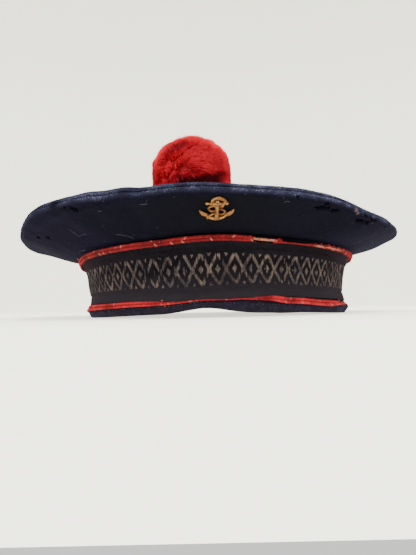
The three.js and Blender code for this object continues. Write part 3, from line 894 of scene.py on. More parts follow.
def ribbon_form(turn, up):
    """Height and distance out of the ribbon's outer face, `up` from 0 at its foot to 1 at its top."""
    droop = sum(table_value(DROOP, turn + step) for step in (-1.5, -0.5, 0.5, 1.5)) / 4
    height = lerp(RIBBON_FOOT - 0.3 - droop, RIBBON_TOP + 0.8, up)
    over_braid = np.clip(droop / 2.5, 0, 1) * (1 - smooth(0.08, 0.26, up)) * 1.4
    creases = sum(stands * bump(up - at, half) for at, half, stands in CREASES)
    fine_folds = 0.07 * np.sin(up * 58 + 1.6 * np.sin(np.radians(turn) * 5)) * bump(up - 0.53, 0.3)
    slack = 0.16 * np.sin(np.pi * up) * np.sin(np.radians(turn) * 9 + 1.3)
    at, half, stands = PUCKER
    past = signed_turn(turn - at)
    pucker = stands * bump(past, half) * np.sin(np.radians(past) * 44) * smooth(0.1, 0.5, up)
    return height, RIBBON_OUT + over_braid + creases + fine_folds + slack + pucker


def at_sides(turn):
    """How near a turn is to the band's left or right side, where the ribbon's base colour carries a painted
    sheen and its threads are worn and faded.
    """
    away = np.abs(signed_turn(turn))
    return smooth(38, 84, away) * (1 - smooth(94, 130, away))


def ribbon_weave():
    """Black ribbon with fine upright ribs, paler towards its foot as painted light, darker at its top as
    painted shade under the upper braid, and with a painted sheen at the sides.
    """
    shade = Shade("black_ribbon", Specular_IOR_Level=0.0,
                  Sheen_Weight=0.02, Sheen_Roughness=0.35, Sheen_Tint=srgb(215, 165, 195))
    around = shade.times(shade.field("around"), 2 * math.pi / RIBBON_RIB)
    rib = shade.add("ShaderNodeMath", around, operation="SINE").outputs[0]
    dust = shade.noise(2.2, 4.0, 0.6)
    thread = shade.noise(0.5, 2.0, 0.6, stretch=(1, 1, 0.18))
    streak = shade.noise(7.0, 2.0, 0.6, stretch=(0.14, 0.14, 2.2))
    shade.layers(
        shade.mix(shade.ramp(streak, 0.35, 0.7), srgb(11, 10, 13), srgb(17, 15, 19)),
        # Paler towards the foot: painted light on the lower ribbon, painted shade at its top under the
        # upper braid
        (shade.times(shade.field("painted_foot_light"), 0.75), srgb(42, 39, 46)),
        # Paler purple-grey at the sides: a painted sheen
        (shade.times(shade.field("sides"), 0.75), srgb(50, 41, 47)),
        (shade.ramp(dust, 0.5, 0.78, 0.0, 0.35), srgb(38, 33, 39)),
        (shade.ramp(thread, 0.45, 0.75, 0.0, 0.25), srgb(38, 34, 40)),
    )
    shade.roughness(shade.ramp(dust, 0.3, 0.7, 0.6, 0.8))
    under = shade.bump(rib, 0.08, 0.6)
    shade.bump(thread, 0.15, 0.5, under)
    return shade.material


def ribbon():
    turns = stations(0.4, 0.9)[:, None]
    ups = np.linspace(0, 1, 54)[None, :]
    height, out = ribbon_form(turns, ups)
    outer = band_point(turns, height, out)
    inner = band_point(turns, height[:, ::-5], out[:, ::-5] - RIBBON_THICK)
    points = np.concatenate([outer, inner], 1)
    steps = np.linalg.norm(np.roll(outer[:, 20], -1, 0) - outer[:, 20], axis=-1)
    around = np.concatenate([[0], np.cumsum(steps)[:-1]])[:, None] + 0 * points[..., 0]
    # Painted light: 1 at the ribbon's foot, falling to 0.1 at its top
    painted_foot_light = 0.1 + 0.9 * (1 - smooth(RIBBON_FOOT, 26.0, points[..., 2]))
    fields = {"around": around, "painted_foot_light": painted_foot_light, "sides": at_sides(turns) + 0 * painted_foot_light}
    made = grid_piece("ribbon_cloth", points, fields, ribbon_weave(), "black_ribbon", "ribbon")


def faded_thread():
    """Tarnished metal thread: dull grey-brown with a little life left in it."""
    shade = Shade("faded_thread", Roughness=0.6, Metallic=0.12, Specular_IOR_Level=0.12)
    grime = shade.noise(1.6, 4.0, 0.65)
    patch = shade.noise(11.0, 2.0)
    shade.layers(
        shade.mix(shade.field("tone"), srgb(52, 46, 49), srgb(107, 93, 87)),
        (shade.ramp(patch, 0.5, 0.7, 0.0, 0.6), srgb(64, 63, 72)),
        (shade.ramp(grime, 0.44, 0.68, 0.0, 0.9), srgb(28, 25, 26)),
    )
    return shade.material


def in_motif(phase, level):
    """Whether the woven pattern covers a point of one repeat; phase runs 0 to 1 and level -1 to 1.

    Two crossing zigzags make a running chain of lozenges, each with a solid lozenge in the middle,
    and a blunt half lozenge fills the gap above and below each crossing.
    """
    ridge = 1 - 2 * np.abs(2 * phase - 1)
    chain = (np.abs(level - ridge) < 0.25) | (np.abs(level + ridge) < 0.25)
    from_middle = np.minimum(phase, 1 - phase)
    middles = np.minimum(from_middle, np.abs(phase - 0.5))
    core = middles / 0.085 + np.abs(level) / 0.36 < 1
    from_crossing = np.abs(np.abs(phase - 0.5) - 0.25)
    ends = from_crossing / 0.07 + (1.05 - np.abs(level)) / 0.34 < 1
    return chain | core | ends


def motif_runs(girth):
    """Where each upright thread of the pattern lies along the ribbon, and where it starts and ends."""
    repeats = round(girth / MOTIF_PERIOD)
    rows = np.linspace(0, 1, 140)
    for column in np.arange(0, girth, THREAD_PITCH):
        inside = in_motif(column * repeats / girth % 1, rows * 2 - 1).astype(int)
        edges = np.flatnonzero(np.diff(np.concatenate([[0], inside, [0]])))
        for low, high in zip(edges[::2], edges[1::2]):
            if high - low > 3:
                yield column, rows[low], rows[high - 1]


def ribbon_threads():
    """The ribbon's woven pattern as raised upright threads, worn thin at the sides."""
    rng = np.random.default_rng(61)
    fine_turns = np.arange(0, 360, 0.05)
    line = band_point(fine_turns, *ribbon_form(fine_turns, 0.5))
    steps = np.linalg.norm(np.roll(line, -1, 0) - line, axis=-1)
    around = np.concatenate([[0], np.cumsum(steps)])
    column, start, end = np.array(list(motif_runs(around[-1]))).T
    turn = np.interp(column, around, np.append(fine_turns, 360.0))[:, None]
    turn = turn + rng.normal(0, 0.02, turn.shape)
    fray = rng.uniform(-0.012, 0.012, (2, len(turn), 1))
    rising = np.linspace(0, 1, 6)[None, :]
    up = lerp(MOTIF_LOW, MOTIF_HIGH, lerp(start[:, None] + fray[0], end[:, None] + fray[1], rising))
    height, out = ribbon_form(turn, up)
    proud = 0.04 + 0.12 * np.sin(np.pi * rising) ** 0.5 + rng.normal(0, 0.012, up.shape)
    centres = band_point(turn, height, out + proud)
    faded = at_sides(turn[:, 0])
    worn = Field(62, 5)(centres[:, 3]) * 0.6 + rng.normal(0, 0.6, len(centres)) + 0.5 * faded
    centres, faded = centres[worn < 0.95], faded[worn < 0.95]
    radii = rng.uniform(0.2, 0.28, (len(centres), 1)) * np.ones((1, 4))
    swept = sweep(centres, radii, 4, 0.6, band_outward(centres[:, 3]))
    tone = 0.5 + 0.25 * Field(63, 9)(centres[:, 3]) + rng.normal(0, 0.22, len(centres)) - 0.7 * faded
    strand_piece("ribbon_threads", swept, {"tone": tone}, faded_thread(), "black_ribbon")


# The braids

def red_yarn(name, dark, bright):
    shade = Shade(name, Roughness=0.92, Specular_IOR_Level=0.08,
                  Sheen_Weight=0.08, Sheen_Roughness=0.5, Sheen_Tint=srgb(255, 170, 170))
    grime = shade.noise(2.4, 4.0, 0.6)
    fibre = shade.noise(0.3, 2.0, 0.6)
    shade.layers(
        shade.mix(shade.field("tone"), dark, bright),
        (shade.ramp(grime, 0.48, 0.78, 0.0, 0.5), dark),
        (shade.field("bare"), srgb(160, 98, 82)),
    )
    shade.bump(fibre, 0.12, 0.7)
    return shade.material


# How full each braid is: turn, part of its whole section
UPPER_FULLNESS = [
    (-180, 1.0), (-92, 1.3), (-74, 1.25), (-60, 1.05), (-20, 1.0), (8, 1.0), (11.4, 0.8), (19, 0.6),
    (20.5, 0.25), (30, 0.2), (33.5, 0.5), (46, 0.75), (62, 0.95), (70, 1.15), (90, 1.0),
]
LOWER_FULLNESS = [
    (-180, 1.0), (-92, 1.45), (-78, 1.4), (-60, 1.15), (-34, 1.0), (-26, 0.88), (-16, 0.7),
    (-8, 0.6), (3.3, 0.55), (6.6, 0.42), (11.7, 0.5), (15, 0.75), (17.5, 1.1), (20, 1.2),
    (36, 1.15), (39, 1.25), (45, 1.2), (52, 0.8), (60, 0.4), (70, 0.24), (84, 0.24), (93, 0.8),
    (100, 1.0),
]

# How far each braid hangs below its even height: turn, mm
UPPER_HANGS = [
    (-180, 0.0), (-105, 1.0), (-92, 2.8), (-78, 2.8), (-66, 1.0), (-56, 0.0), (60, 0.0), (74, 1.2),
    (88, 1.0), (110, 0.0),
]
LOWER_HANGS = [
    (-105, 0.0), (-92, 1.1), (-78, 0.9), (-64, 0.0), (-3, 0.0), (3.3, -0.7), (6.6, -1.4),
    (11.7, -1.4), (17.7, -0.9), (22.5, 0.0), (30, 0.1), (39, 0.75), (46, 0.7), (60, -0.5),
    (80, -1.4), (92, -1.0), (105, 0.0),
]

# How far each braid stands out from the band, over its even seat: turn, mm
UPPER_STANDS = [
    (-105, 0.0), (-92, -1.2), (-78, -0.8), (-66, 0.0), (60, 0.0), (74, 0.4), (88, 0.35), (110, 0.0),
]
LOWER_STANDS = [
    (-110, 0.0), (-92, -2.7), (-74, -1.4), (-60, 0.0), (60, 0.0), (74, -1.0), (92, -1.8),
    (110, 0.0),
]

# How threadbare each braid's two ribs are: turn, part of the yarns gone pale
UPPER_PALE = [
    (-180, 0.04), (-74, 0.06), (-60, 0.03), (-26, 0.04), (-20, 0.16), (-12, 0.10), (-2, 0.07),
    (11, 0.08), (19, 0.0), (33, 0.0), (34, 0.08), (38, 0.12), (60, 0.12), (66, 0.04), (180, 0.06),
]
LOWER_PALE = [
    (-180, 0.04), (-24, 0.02), (-19, 0.15), (-10, 0.12), (18, 0.03), (24, 0.06), (50, 0.05),
    (54, 0.25), (58, 0.22), (64, 0.03),
]


def braid_bed(lies, fullness, from_turn, to_turn):
    """Points of the red bed behind a braid's yarns, which runs out at its ends."""
    turn = np.linspace(from_turn, to_turn, 400)[:, None]
    ends = smooth(0, 0.8, turn - from_turn) * smooth(0, 0.8, to_turn - turn)
    full = table_value(fullness, turn)
    middle, outward = lies(turn, full)
    section = np.radians(np.arange(-90, 270, 30))[None, :]
    height = middle + BRAID_TALL * 0.46 * full * ends * np.sin(section)
    thick = (GAP + 0.9 * full) * ends
    in_front = np.cos(section) > -0.1
    return band_point(turn, height, outward(height, 0) * in_front + thick * np.cos(section))


def braid(name, node, seat, tables, from_turn, to_turn, colours, seed):
    """A two-ribbed braid. A rib is a run of short slanted yarns, and the two slant against each other.

    The seat is its height and how much lower it lies, as a part of what it has lost, where it is thin.
    A bed of the same red fills it out behind the yarns and is part of the same piece; it takes the darkest
    tone, as painted shade between the yarns.
    """
    rng = np.random.default_rng(seed)
    middle_height, thin_sinks = seat
    fullness, hangs, stands, paleness = tables
    count = int((to_turn - from_turn) / YARN_PITCH)
    along = np.linspace(from_turn, to_turn, count, endpoint=False)
    across = np.linspace(-1, 1, 7)[None, :]

    def lies(turn, full):
        """The braid's middle height, and how far out a point of it at a height and offset goes."""
        middle = middle_height - table_value(hangs, turn) - thin_sinks * np.clip(1 - full, 0, 1)

        def outward(height, offset):
            flare = (band_lean(middle_height) - band_lean(height)) * crown_form("lean", turn) * 0.4
            return offset + table_value(stands, turn) + np.maximum(flare, 0)

        return middle, outward

    strands, pale = [], []
    for rib in (1, -1):
        turn = along[:, None] + YARN_PITCH / 4 * rib
        turn = turn + rng.normal(0, 0.04, turn.shape)
        full = table_value(fullness, turn)
        middle, outward = lies(turn, full)
        height = middle + BRAID_TALL * (0.25 * rib + 0.27 * across) * full
        round_out = np.sqrt(1 - across**2 * 0.9) * 1.3 * full
        out = outward(height, GAP + 0.3 * full + round_out + rng.normal(0, 0.05, turn.shape))
        strands.append(band_point(turn + rib * across * YARN_PITCH * 0.9, height, out))
        chance = table_value(paleness, turn)[:, 0]
        pale.append(rng.random(count) < chance * (1.0 if rib > 0 else 0.7))
    centres = np.concatenate(strands)
    bare = np.concatenate(pale) * rng.uniform(0.4, 1.0, len(centres))
    full = np.tile(table_value(fullness, along), 2)[:, None]
    radii = np.array([[0.36, 0.5, 0.54, 0.5, 0.36]]) * (0.35 + 0.65 * full)
    yarns, yarn_faces, per = sweep(centres, radii, 5, 0.8, band_outward(centres[:, 3]))
    tone = 0.55 + 0.2 * Field(seed + 3, 12)(centres[:, 3]) + rng.normal(0, 0.14, len(centres))
    bed = braid_bed(lies, fullness, from_turn, to_turn)
    bed_faces = grid_faces(*bed.shape[:2], False, True)
    points, faces = merged([(yarns, yarn_faces), (bed.reshape(-1, 3), bed_faces)])
    # The bed takes the darkest tone: painted shade between the yarns
    blank = np.zeros(bed.size // 3)
    fields = {
        "tone": np.append(each_point(np.clip(tone, 0, 1), per), blank),
        "bare": np.append(each_point(bare, per), blank),
    }
    piece(name, points, faces, fields, red_yarn(name, *colours), "red_braid", node)


def braid_fray(name, middle_height, tables, count, seed, material):
    """Loose fibres and pulled yarn ends that stand out of a braid."""
    rng = np.random.default_rng(seed)
    fullness, hangs, stands, _ = tables
    turn = rng.uniform(0, 360, count)
    turn = turn[table_value(fullness, turn) > 0.5]
    count = len(turn)
    side = rng.choice([-1, 1], count)
    full = table_value(fullness, turn)
    from_middle = side * rng.uniform(0.2, 0.5, count) * BRAID_TALL * full
    height = middle_height - table_value(hangs, turn) + from_middle
    base = band_point(turn, height, GAP + 1.2 * full + table_value(stands, turn))
    out = band_outward(base)
    along = np.cross([0.0, 0.0, 1.0], out)
    length = rng.uniform(0.4, 1.1, count)[:, None]
    way = unit(out * rng.uniform(0.1, 0.7, (count, 1)) + along * rng.uniform(-1, 1, (count, 1))
               + np.array([0, 0, 1.0]) * (side[:, None] * rng.uniform(0.1, 0.8, (count, 1))))
    part = np.linspace(0, 1, 5)[None, :, None]
    sag = np.array([0, 0, -0.35]) * length[:, None] * part**2
    centres = base[:, None] + way[:, None] * length[:, None] * part + sag
    radii = rng.uniform(0.05, 0.09, (count, 1)) * np.array([[1.0, 0.9, 0.7]])
    tone = rng.uniform(0.3, 1.0, count)
    bare = (rng.random(count) < 0.12) * 0.9
    strand_piece(name, sweep(centres, radii, 3), {"tone": tone, "bare": bare}, material, "red_braid")


# Pulled tufts of yarn: turn, height, way right, way up, length, radius, pale or not
TUFTS = [
    (10.6, 36.7, 0.9, 0.5, 2.6, 0.42, 0),
    (11.0, 36.1, 0.9, 0.2, 2.2, 0.4, 0),
    (19.4, 36.6, -0.9, 0.4, 2.4, 0.4, 0),
    (20.2, 36.2, -0.9, 0.2, 2.2, 0.4, 0),
    (-19.4, 34.7, 0.3, -0.8, 1.2, 0.4, 0),
    (-20.6, 36.9, 0.9, 0.5, 2.0, 0.28, 1),
    (-18.0, 36.2, 0.9, 0.45, 1.8, 0.25, 1),
    (-46.6, 37.3, 0.7, -0.6, 1.8, 0.3, 1),
    (-34.8, 36.8, 0.8, -0.6, 1.9, 0.3, 1),
    (-66.0, 37.0, 0.8, -0.5, 1.4, 0.35, 1),
    (37.5, 36.7, 0.9, 0.25, 2.6, 0.4, 0),
    (41.0, 36.8, -0.9, 0.2, 2.4, 0.45, 0),
    (44.5, 36.8, 0.9, 0.3, 2.6, 0.4, 0),
    (48.5, 36.8, 0.9, 0.1, 2.4, 0.45, 0),
    (52.0, 36.7, -0.9, 0.3, 2.2, 0.4, 0),
    (-18.4, 4.4, 0.2, -0.9, 1.3, 0.45, 0),
    (-19.6, 7.0, 0.9, 0.3, 1.7, 0.28, 1),
    (53.0, 7.2, 0.9, 0.2, 1.8, 0.35, 1),
    (56.0, 6.4, 0.9, -0.3, 1.5, 0.3, 1),
    (55.0, 4.9, 0.6, -0.6, 1.5, 0.4, 0),
]


def tufts(material):
    centres, radii, pale = [], [], []
    for turn, height, right, up, length, radius, is_pale in TUFTS:
        base = band_point(turn, height, GAP + 1.5)
        out = band_outward(base)
        along = np.cross(out, [0.0, 0.0, -1.0])
        way = unit(along * -right + np.array([0, 0, up]) + out * 0.25)
        part = np.linspace(-0.25, 1, 7)[:, None]
        centres.append(base + way * length * 0.62 * part + out * 0.3 * np.sin(np.pi * np.clip(part, 0, 1)))
        radii.append(np.array([0.8, 1.0, 1.0, 0.85, 0.6]) * radius)
        pale.append(is_pale * 0.9)
    swept = sweep(np.array(centres), np.array(radii), 6)
    fields = {"tone": np.full(len(pale), 0.8), "bare": pale}
    strand_piece("braid_tufts", swept, fields, material, "red_braid")


def cotton():
    shade = Shade("cotton_cord", Roughness=0.95, Specular_IOR_Level=0.08)
    grime = shade.noise(1.5, 4.0, 0.6)
    fibre = shade.noise(0.3, 2.0)
    shade.colour(shade.mix(shade.ramp(grime, 0.35, 0.7), srgb(170, 112, 92), srgb(92, 56, 48)))
    shade.bump(fibre, 0.12, 0.7)
    return shade.material


def twisted_cord(turns, height, out, radius, twists_a_degree):
    """Three cords twisted round each other along the band."""
    strands = []
    for k in range(3):
        twist = np.radians(turns * 360 * twists_a_degree + k * 120)
        up, forward = radius * 0.6 * np.sin(twist), radius * 0.6 * np.cos(twist)
        strands.append(band_point(turns, height + up, out + forward))
    centres = np.stack(strands)
    radii = np.full((3, len(turns) - 2), radius * 0.68)
    return sweep(centres, radii, 6)[:2]


def core_cord():
    """The bare core where the braid's red has gone, and where it shows below the frayed upper rib."""
    gap_turns = np.linspace(WORN_FROM - 2.0, WORN_TO + 1.0, 60)
    right_turns = np.linspace(34.5, 57.0, 100)
    gap_part = twisted_cord(gap_turns, UPPER_BRAID_HEIGHT + 0.15, GAP + 0.65, 0.5, 0.3)
    shown = np.maximum(bump(right_turns - 37.3, 2.8), bump(right_turns - 48, 8.5)) ** 0.5
    right_part = twisted_cord(right_turns, UPPER_BRAID_HEIGHT - 0.3, GAP + 0.5 + 0.65 * shown, 0.5, 0.28)
    points, faces = merged([gap_part, right_part])
    piece("braid_core_cord", points, faces, {}, cotton(), "cotton_cord", "braid_core")


# The pompom

def pompom_wool():
    shade = Shade("pompom_wool", Roughness=0.95, Specular_IOR_Level=0.03,
                  Sheen_Weight=0.015, Sheen_Roughness=0.5, Sheen_Tint=srgb(255, 80, 80))
    # Depth darkens the wool towards each strand's root, in the hollow and in the head under the pile:
    # painted shade
    tip = shade.mix(shade.field("tone"), srgb(132, 33, 44), srgb(240, 41, 59))
    shade.colour(shade.mix(shade.field("depth"), srgb(64, 15, 21), tip))
    return shade.material


def fibonacci(count):
    k = np.arange(count) + 0.5
    height = 1 - 2 * k / count
    ring = np.sqrt(1 - height**2)
    angle = np.pi * (3 - math.sqrt(5)) * k
    return np.stack([ring * np.cos(angle), ring * np.sin(angle), height], -1)


def pompom_hollow(way):
    """The worn hollow low on the front, under an overhanging lip of pile."""
    edge = -0.142 + 0.29 * way[:, 0] + 0.08 * np.minimum(way[:, 0] - 0.11, 0)
    below = 1 - smooth(edge - 0.10, edge + 0.02, way[:, 2])
    wide = smooth(-0.6, -0.35, way[:, 0]) * (1 - smooth(0.78, 0.95, way[:, 0]))
    return below * wide * smooth(0.05, 0.35, -way[:, 1])


def pompom_parting(way):
    """A parting that runs up across the upper left of the front, sunk a little and painted darker as
    painted shade.
    """
    along = (way[:, 0] + 0.85) / 0.7
    line = 0.22 + 0.42 * along
    across = bump(way[:, 2] - line, 0.17)
    within = smooth(-0.1, 0.15, along) * (1 - smooth(0.8, 1.15, along))
    return across * within * smooth(0.0, 0.3, -way[:, 1])


def pompom():
    """A head of wool under a dense cut pile that lies in tufts, with creases between them."""
    rng = np.random.default_rng(71)
    size = np.array([POMPOM_WIDTH, POMPOM_WIDTH, POMPOM_HEIGHT]) / 2
    middle = np.array([POMPOM_X, POMPOM_Y, DOME_HEIGHT + GAP + size[2] - POMPOM_SUNK]) + FRAME_SHIFT
    floor = DOME_HEIGHT + GAP + 0.1

    def settled(points):
        """Points kept above the crown, on which the pompom sits."""
        reach = np.hypot(points[..., 0] - middle[0], points[..., 1] - middle[1])
        seat = floor - 0.004 * np.clip(reach - 6, 0, None) ** 1.6
        return np.concatenate([points[..., :2], np.maximum(points[..., 2:], seat[..., None])], -1)

    way = unit(fibonacci(POMPOM_STRANDS) + rng.normal(0, 0.012, (POMPOM_STRANDS, 3)))
    tuft_ways = unit(fibonacci(POMPOM_CLUMPS) + rng.normal(0, 0.05, (POMPOM_CLUMPS, 3)))
    nearest = (way @ tuft_ways.T).argmax(1)
    to_tuft = tuft_ways[nearest] - way
    from_tuft = np.linalg.norm(to_tuft, axis=1)
    tufted = np.exp(-((way - unit(np.array([-0.35, -0.9, -0.2]))) ** 2).sum(1) / 0.3)
    strength = 0.22 + 0.14 * Field(72, 1.4)(way) - 0.15 * way[:, 2] - 0.1 * way[:, 0] + 0.5 * tufted
    strength = np.clip(strength, 0.05, 0.75)
    hollow = pompom_hollow(way)
    parting = pompom_parting(way)
    tuft_height = rng.normal(0, 0.012, POMPOM_CLUMPS)[nearest]
    left = smooth(0.2, 0.85, -way[:, 0])
    reach = 0.985 + tuft_height - strength * 2.8 * from_tuft**2
    reach = reach - HOLLOW_DEPTH * hollow - PARTING_DEPTH * parting
    reach += 0.06 * bump(way[:, 2] - 0.6, 0.42) * (1 - 0.6 * left) + 0.012 * left
    reach -= 0.045 * bump(way[:, 2] - 0.85, 0.26) * smooth(0.0, 0.5, -way[:, 0])
    reach += 0.007 * Field(73, 0.3)(way) + rng.normal(0, 0.006, len(way))
    reach += (rng.random(len(way)) < 0.01) * rng.uniform(0.01, 0.045, len(way))
    flow = np.stack([Field(75 + k, 1.1)(way) for k in range(3)], -1) * 0.4 + [0.25, 0.0, -0.55]
    flow = flow - way * (flow * way).sum(1, keepdims=True)
    lean = flow * 0.18 + to_tuft * (0.45 * strength)[:, None] + rng.normal(0, 0.018, way.shape)
    out_part = np.array([0.0, 0.45, 0.8, 1.0])
    radial = lerp(0.74, 1.0, out_part)[None, :, None] * way[:, None] * reach[:, None, None]
    centres = radial + lean[:, None] * (out_part**1.6)[None, :, None]
    length = np.linalg.norm(centres, axis=-1, keepdims=True)
    limit = lerp(0.74, 1.0, out_part)[None, :, None] * reach[:, None, None]
    centres = settled(centres / length * limit * size + middle)
    thick = rng.uniform(0.30, 0.42, (len(way), 1))
    radii = thick * np.array([[1.0, 0.85]])
    # The tone is random change with painted light laid in: lighter towards the top, painted shade in the
    # parting, the hollow and the creases between tufts
    tone = np.clip(0.62 + 0.12 * Field(78, 0.7)(way) + 0.2 * way[:, 2] - 0.5 * parting - 0.9 * hollow
                   - 1.1 * strength * from_tuft + rng.normal(0, 0.10, len(way)), 0, 1)
    shade_by_ring = np.array([0.0] + [0.45] * 3 + [0.9] * 3 + [1.0])
    material = pompom_wool()
    for part, chosen in (("high", way[:, 2] >= 0.1), ("low", way[:, 2] < 0.1)):
        points, faces, per = sweep(centres[chosen], radii[chosen], 3)
        # Painted shade: darker towards each strand's root and in the hollow
        depth = shade_by_ring[None, :] * (1 - 0.75 * hollow[chosen])[:, None]
        fields = {"tone": each_point(tone[chosen], per), "depth": depth}
        replaced = ["pompom"] if part == "high" else []
        piece("pompom_pile_" + part, points, faces, fields, material, "red_wool", *replaced)
    pompom_head(settled, middle, size, material)
    pompom_flyaways(middle, size, material)


def pompom_head(settled, middle, size, material):
    """The round body of wool under the pile."""
    ball = fibonacci(HEAD_POINTS)
    hollow = pompom_hollow(ball)
    inside = ball * (0.86 - 0.19 * hollow + 0.012 * Field(79, 0.3)(ball))[:, None]
    # The head is painted darker than the pile, and darker still in the hollow: painted shade
    fields = {"tone": 0.35 - 0.3 * hollow, "depth": 0.5 - 0.45 * hollow}
    points = settled(inside * size + middle)
    piece("pompom_head", points, ball_faces(ball), fields, material, "red_wool")


def pompom_flyaways(middle, size, material):
    """Single fibres that stand clear of the pile."""
    rng = np.random.default_rng(74)
    way = unit(rng.normal(size=(FLYAWAYS_TRIED, 3)))
    way = way[(way[:, 2] > -0.3) & (pompom_hollow(way) < 0.3)]
    count = len(way)
    bend = unit(np.cross(way, rng.normal(size=(count, 3))))
    part = np.linspace(0, 1, 5)[None, :, None]
    length = rng.uniform(0.03, 0.09, (count, 1, 1))
    centres = way[:, None] * (0.95 + length * part) + bend[:, None] * length * part**2 * 0.8
    centres = centres * size + middle
    radii = np.full((count, 3), 0.07)
    fields = {"tone": np.full(count, 0.8), "depth": np.full(count, 1.0)}
    strand_piece("pompom_flyaways", sweep(centres, radii, 3), fields, material, "red_wool")


def ball_faces(points):
    """Triangles over points on a ball."""
    mesh = bmesh.new()
    for point in points:
        mesh.verts.new(point)
    mesh.verts.index_update()
    bmesh.ops.convex_hull(mesh, input=mesh.verts)
    faces = [[vertex.index for vertex in face.verts] for face in mesh.faces]
    mesh.free()
    return faces


# Fibres lying on the cloth

def lay_fibres(turn, place, length, rise, spin, curl, stations_along=5):
    """Centre lines of fibres that lie on the crown's cloth, each starting at a turn and place."""
    point, right, up, out = panel_frame(turn, place)
    offset = relief(turn, place, point)[0]
    point = point + out * offset[:, None]
    c, s = np.cos(spin)[:, None], np.sin(spin)[:, None]
    run = right * c + up * s
    side = up * c - right * s
    part = np.linspace(0, 1, stations_along)[None, :, None]
    length, rise, curl = (v[:, None, None] for v in (length, rise, curl))
    arch = out[:, None] * (0.04 + rise * np.sin(np.pi * part * 0.9))
    return point[:, None] + run[:, None] * length * part + side[:, None] * curl * length * part**2 + arch


def fibre_wool(name, dark, light):
    shade = Shade(name, Roughness=0.9, Specular_IOR_Level=0.05)
    shade.colour(shade.mix(shade.field("tone"), dark, light))
    return shade.material


def rim_fuzz():
    """Short pale fibres of rubbed nap, thickest along the rim."""
    rng = np.random.default_rng(101)
    turn = rng.uniform(-180, 180, FUZZ_TRIED)
    place = rng.uniform(0.2, 2.3, FUZZ_TRIED)
    point = panel_point(turn, place)
    rim = np.clip(rubbed_and_lit(turn, place, point), 0, 1)
    chance = 0.26 * rim**2.2 * (0.4 + 0.6 * bump(signed_turn(turn), 95)) + 0.005
    kept = rng.random(len(turn)) < chance
    turn, place, rim = turn[kept], place[kept], rim[kept]
    count = len(turn)
    centres = lay_fibres(turn, place, rng.uniform(0.4, 1.3, count), rng.uniform(0.05, 0.4, count),
                         rng.uniform(0, 2 * np.pi, count), rng.uniform(-0.5, 0.5, count))
    radii = rng.uniform(0.03, 0.065, (count, 1)) * np.ones((1, 3))
    tone = 0.1 + 0.6 * rim + rng.normal(0, 0.25, count)
    wool = fibre_wool("fuzz_wool", srgb(22, 23, 32), srgb(96, 99, 124))
    strand_piece("rim_fuzz", sweep(centres, radii, 3), {"tone": tone}, wool, "navy_cloth")


# Long fibres of lint, each through turns and places on the crown
LINT = [
    [(-42.0, 0.71), (-42.0, 0.66), (-42.2, 0.60), (-42.3, 0.55), (-43.0, 0.48), (-42.2, 0.47),
     (-40.5, 0.475), (-39.2, 0.45)],
    [(-29.5, 0.33), (-28.0, 0.285), (-26.8, 0.235), (-26.4, 0.17), (-26.8, 0.12)],
    [(-56.0, 0.16), (-54.5, 0.19), (-53.5, 0.14), (-52.0, 0.17)],
    [(-55.0, 0.11), (-53.0, 0.16), (-51.5, 0.13)],
    [(17.0, 0.92), (17.2, 0.96), (17.7, 0.98), (18.3, 0.955)],
    [(-14.6, 0.97), (-13.6, 0.95), (-12.8, 0.96)],
    [(-25.2, 0.96), (-24.7, 0.94), (-24.2, 0.95)],
]


def lint():
    """A few long pale fibres and small specks caught on the crown's side."""
    rng = np.random.default_rng(111)
    parts = []
    for row in LINT:
        line = curve_through([(turn, place, 0.0) for turn, place in row], LINT_STATIONS)
        point, _, _, out = panel_frame(line[:, 0], line[:, 1])
        offset = relief(line[:, 0], line[:, 1], point)[0]
        wave = 0.12 + 0.08 * np.sin(np.arange(LINT_STATIONS) * 1.3)
        centres = point + out * (offset + wave)[:, None]
        parts.append(sweep(centres[None], np.full((1, LINT_STATIONS - 2), 0.052), 4)[:2])
    count = LINT_SPECKS
    turn = rng.uniform(-75, 75, count)
    place = rng.uniform(0.1, 1.4, count)
    centres = lay_fibres(turn, place, rng.uniform(0.4, 1.6, count), rng.uniform(0.05, 0.2, count),
                         rng.uniform(0, 2 * np.pi, count), rng.uniform(-0.9, 0.9, count))
    parts.append(sweep(centres, np.full((count, 3), 0.042), 4)[:2])
    points, faces = merged(parts)
    fields = {"tone": np.full(len(points), 0.4)}
    pale = fibre_wool("pale_lint", srgb(60, 57, 66), srgb(112, 108, 116))
    piece("lint_fibres", points, faces, fields, pale, "navy_cloth")


def torn_threads():
    """Loose threads across and around the holes."""
    rng = np.random.default_rng(121)
    turns, places, lengths = [], [], []
    for at, on, long, wide, _, _ in PITS:
        for _ in range(int(0.5 + 0.7 * long)):
            turns.append(at + rng.normal(0, 0.35 * long))
            places.append(on + rng.normal(0, 0.022 * wide))
            lengths.append(rng.uniform(0.7, 1.2 + 0.5 * long))
    count = len(turns)
    centres = lay_fibres(np.array(turns), np.array(places), np.array(lengths), rng.uniform(0.3, 1.5, count),
                         rng.uniform(0, 2 * np.pi, count), rng.uniform(-0.8, 0.8, count), 6)
    radii = rng.uniform(0.05, 0.10, (count, 1)) * np.ones((1, 4))
    tone = rng.uniform(0, 1, count) ** 2
    wool = fibre_wool("torn_wool", srgb(8, 8, 12), srgb(58, 57, 72))
    strand_piece("torn_threads", sweep(centres, radii, 4), {"tone": tone}, wool, "navy_cloth")


# The badge

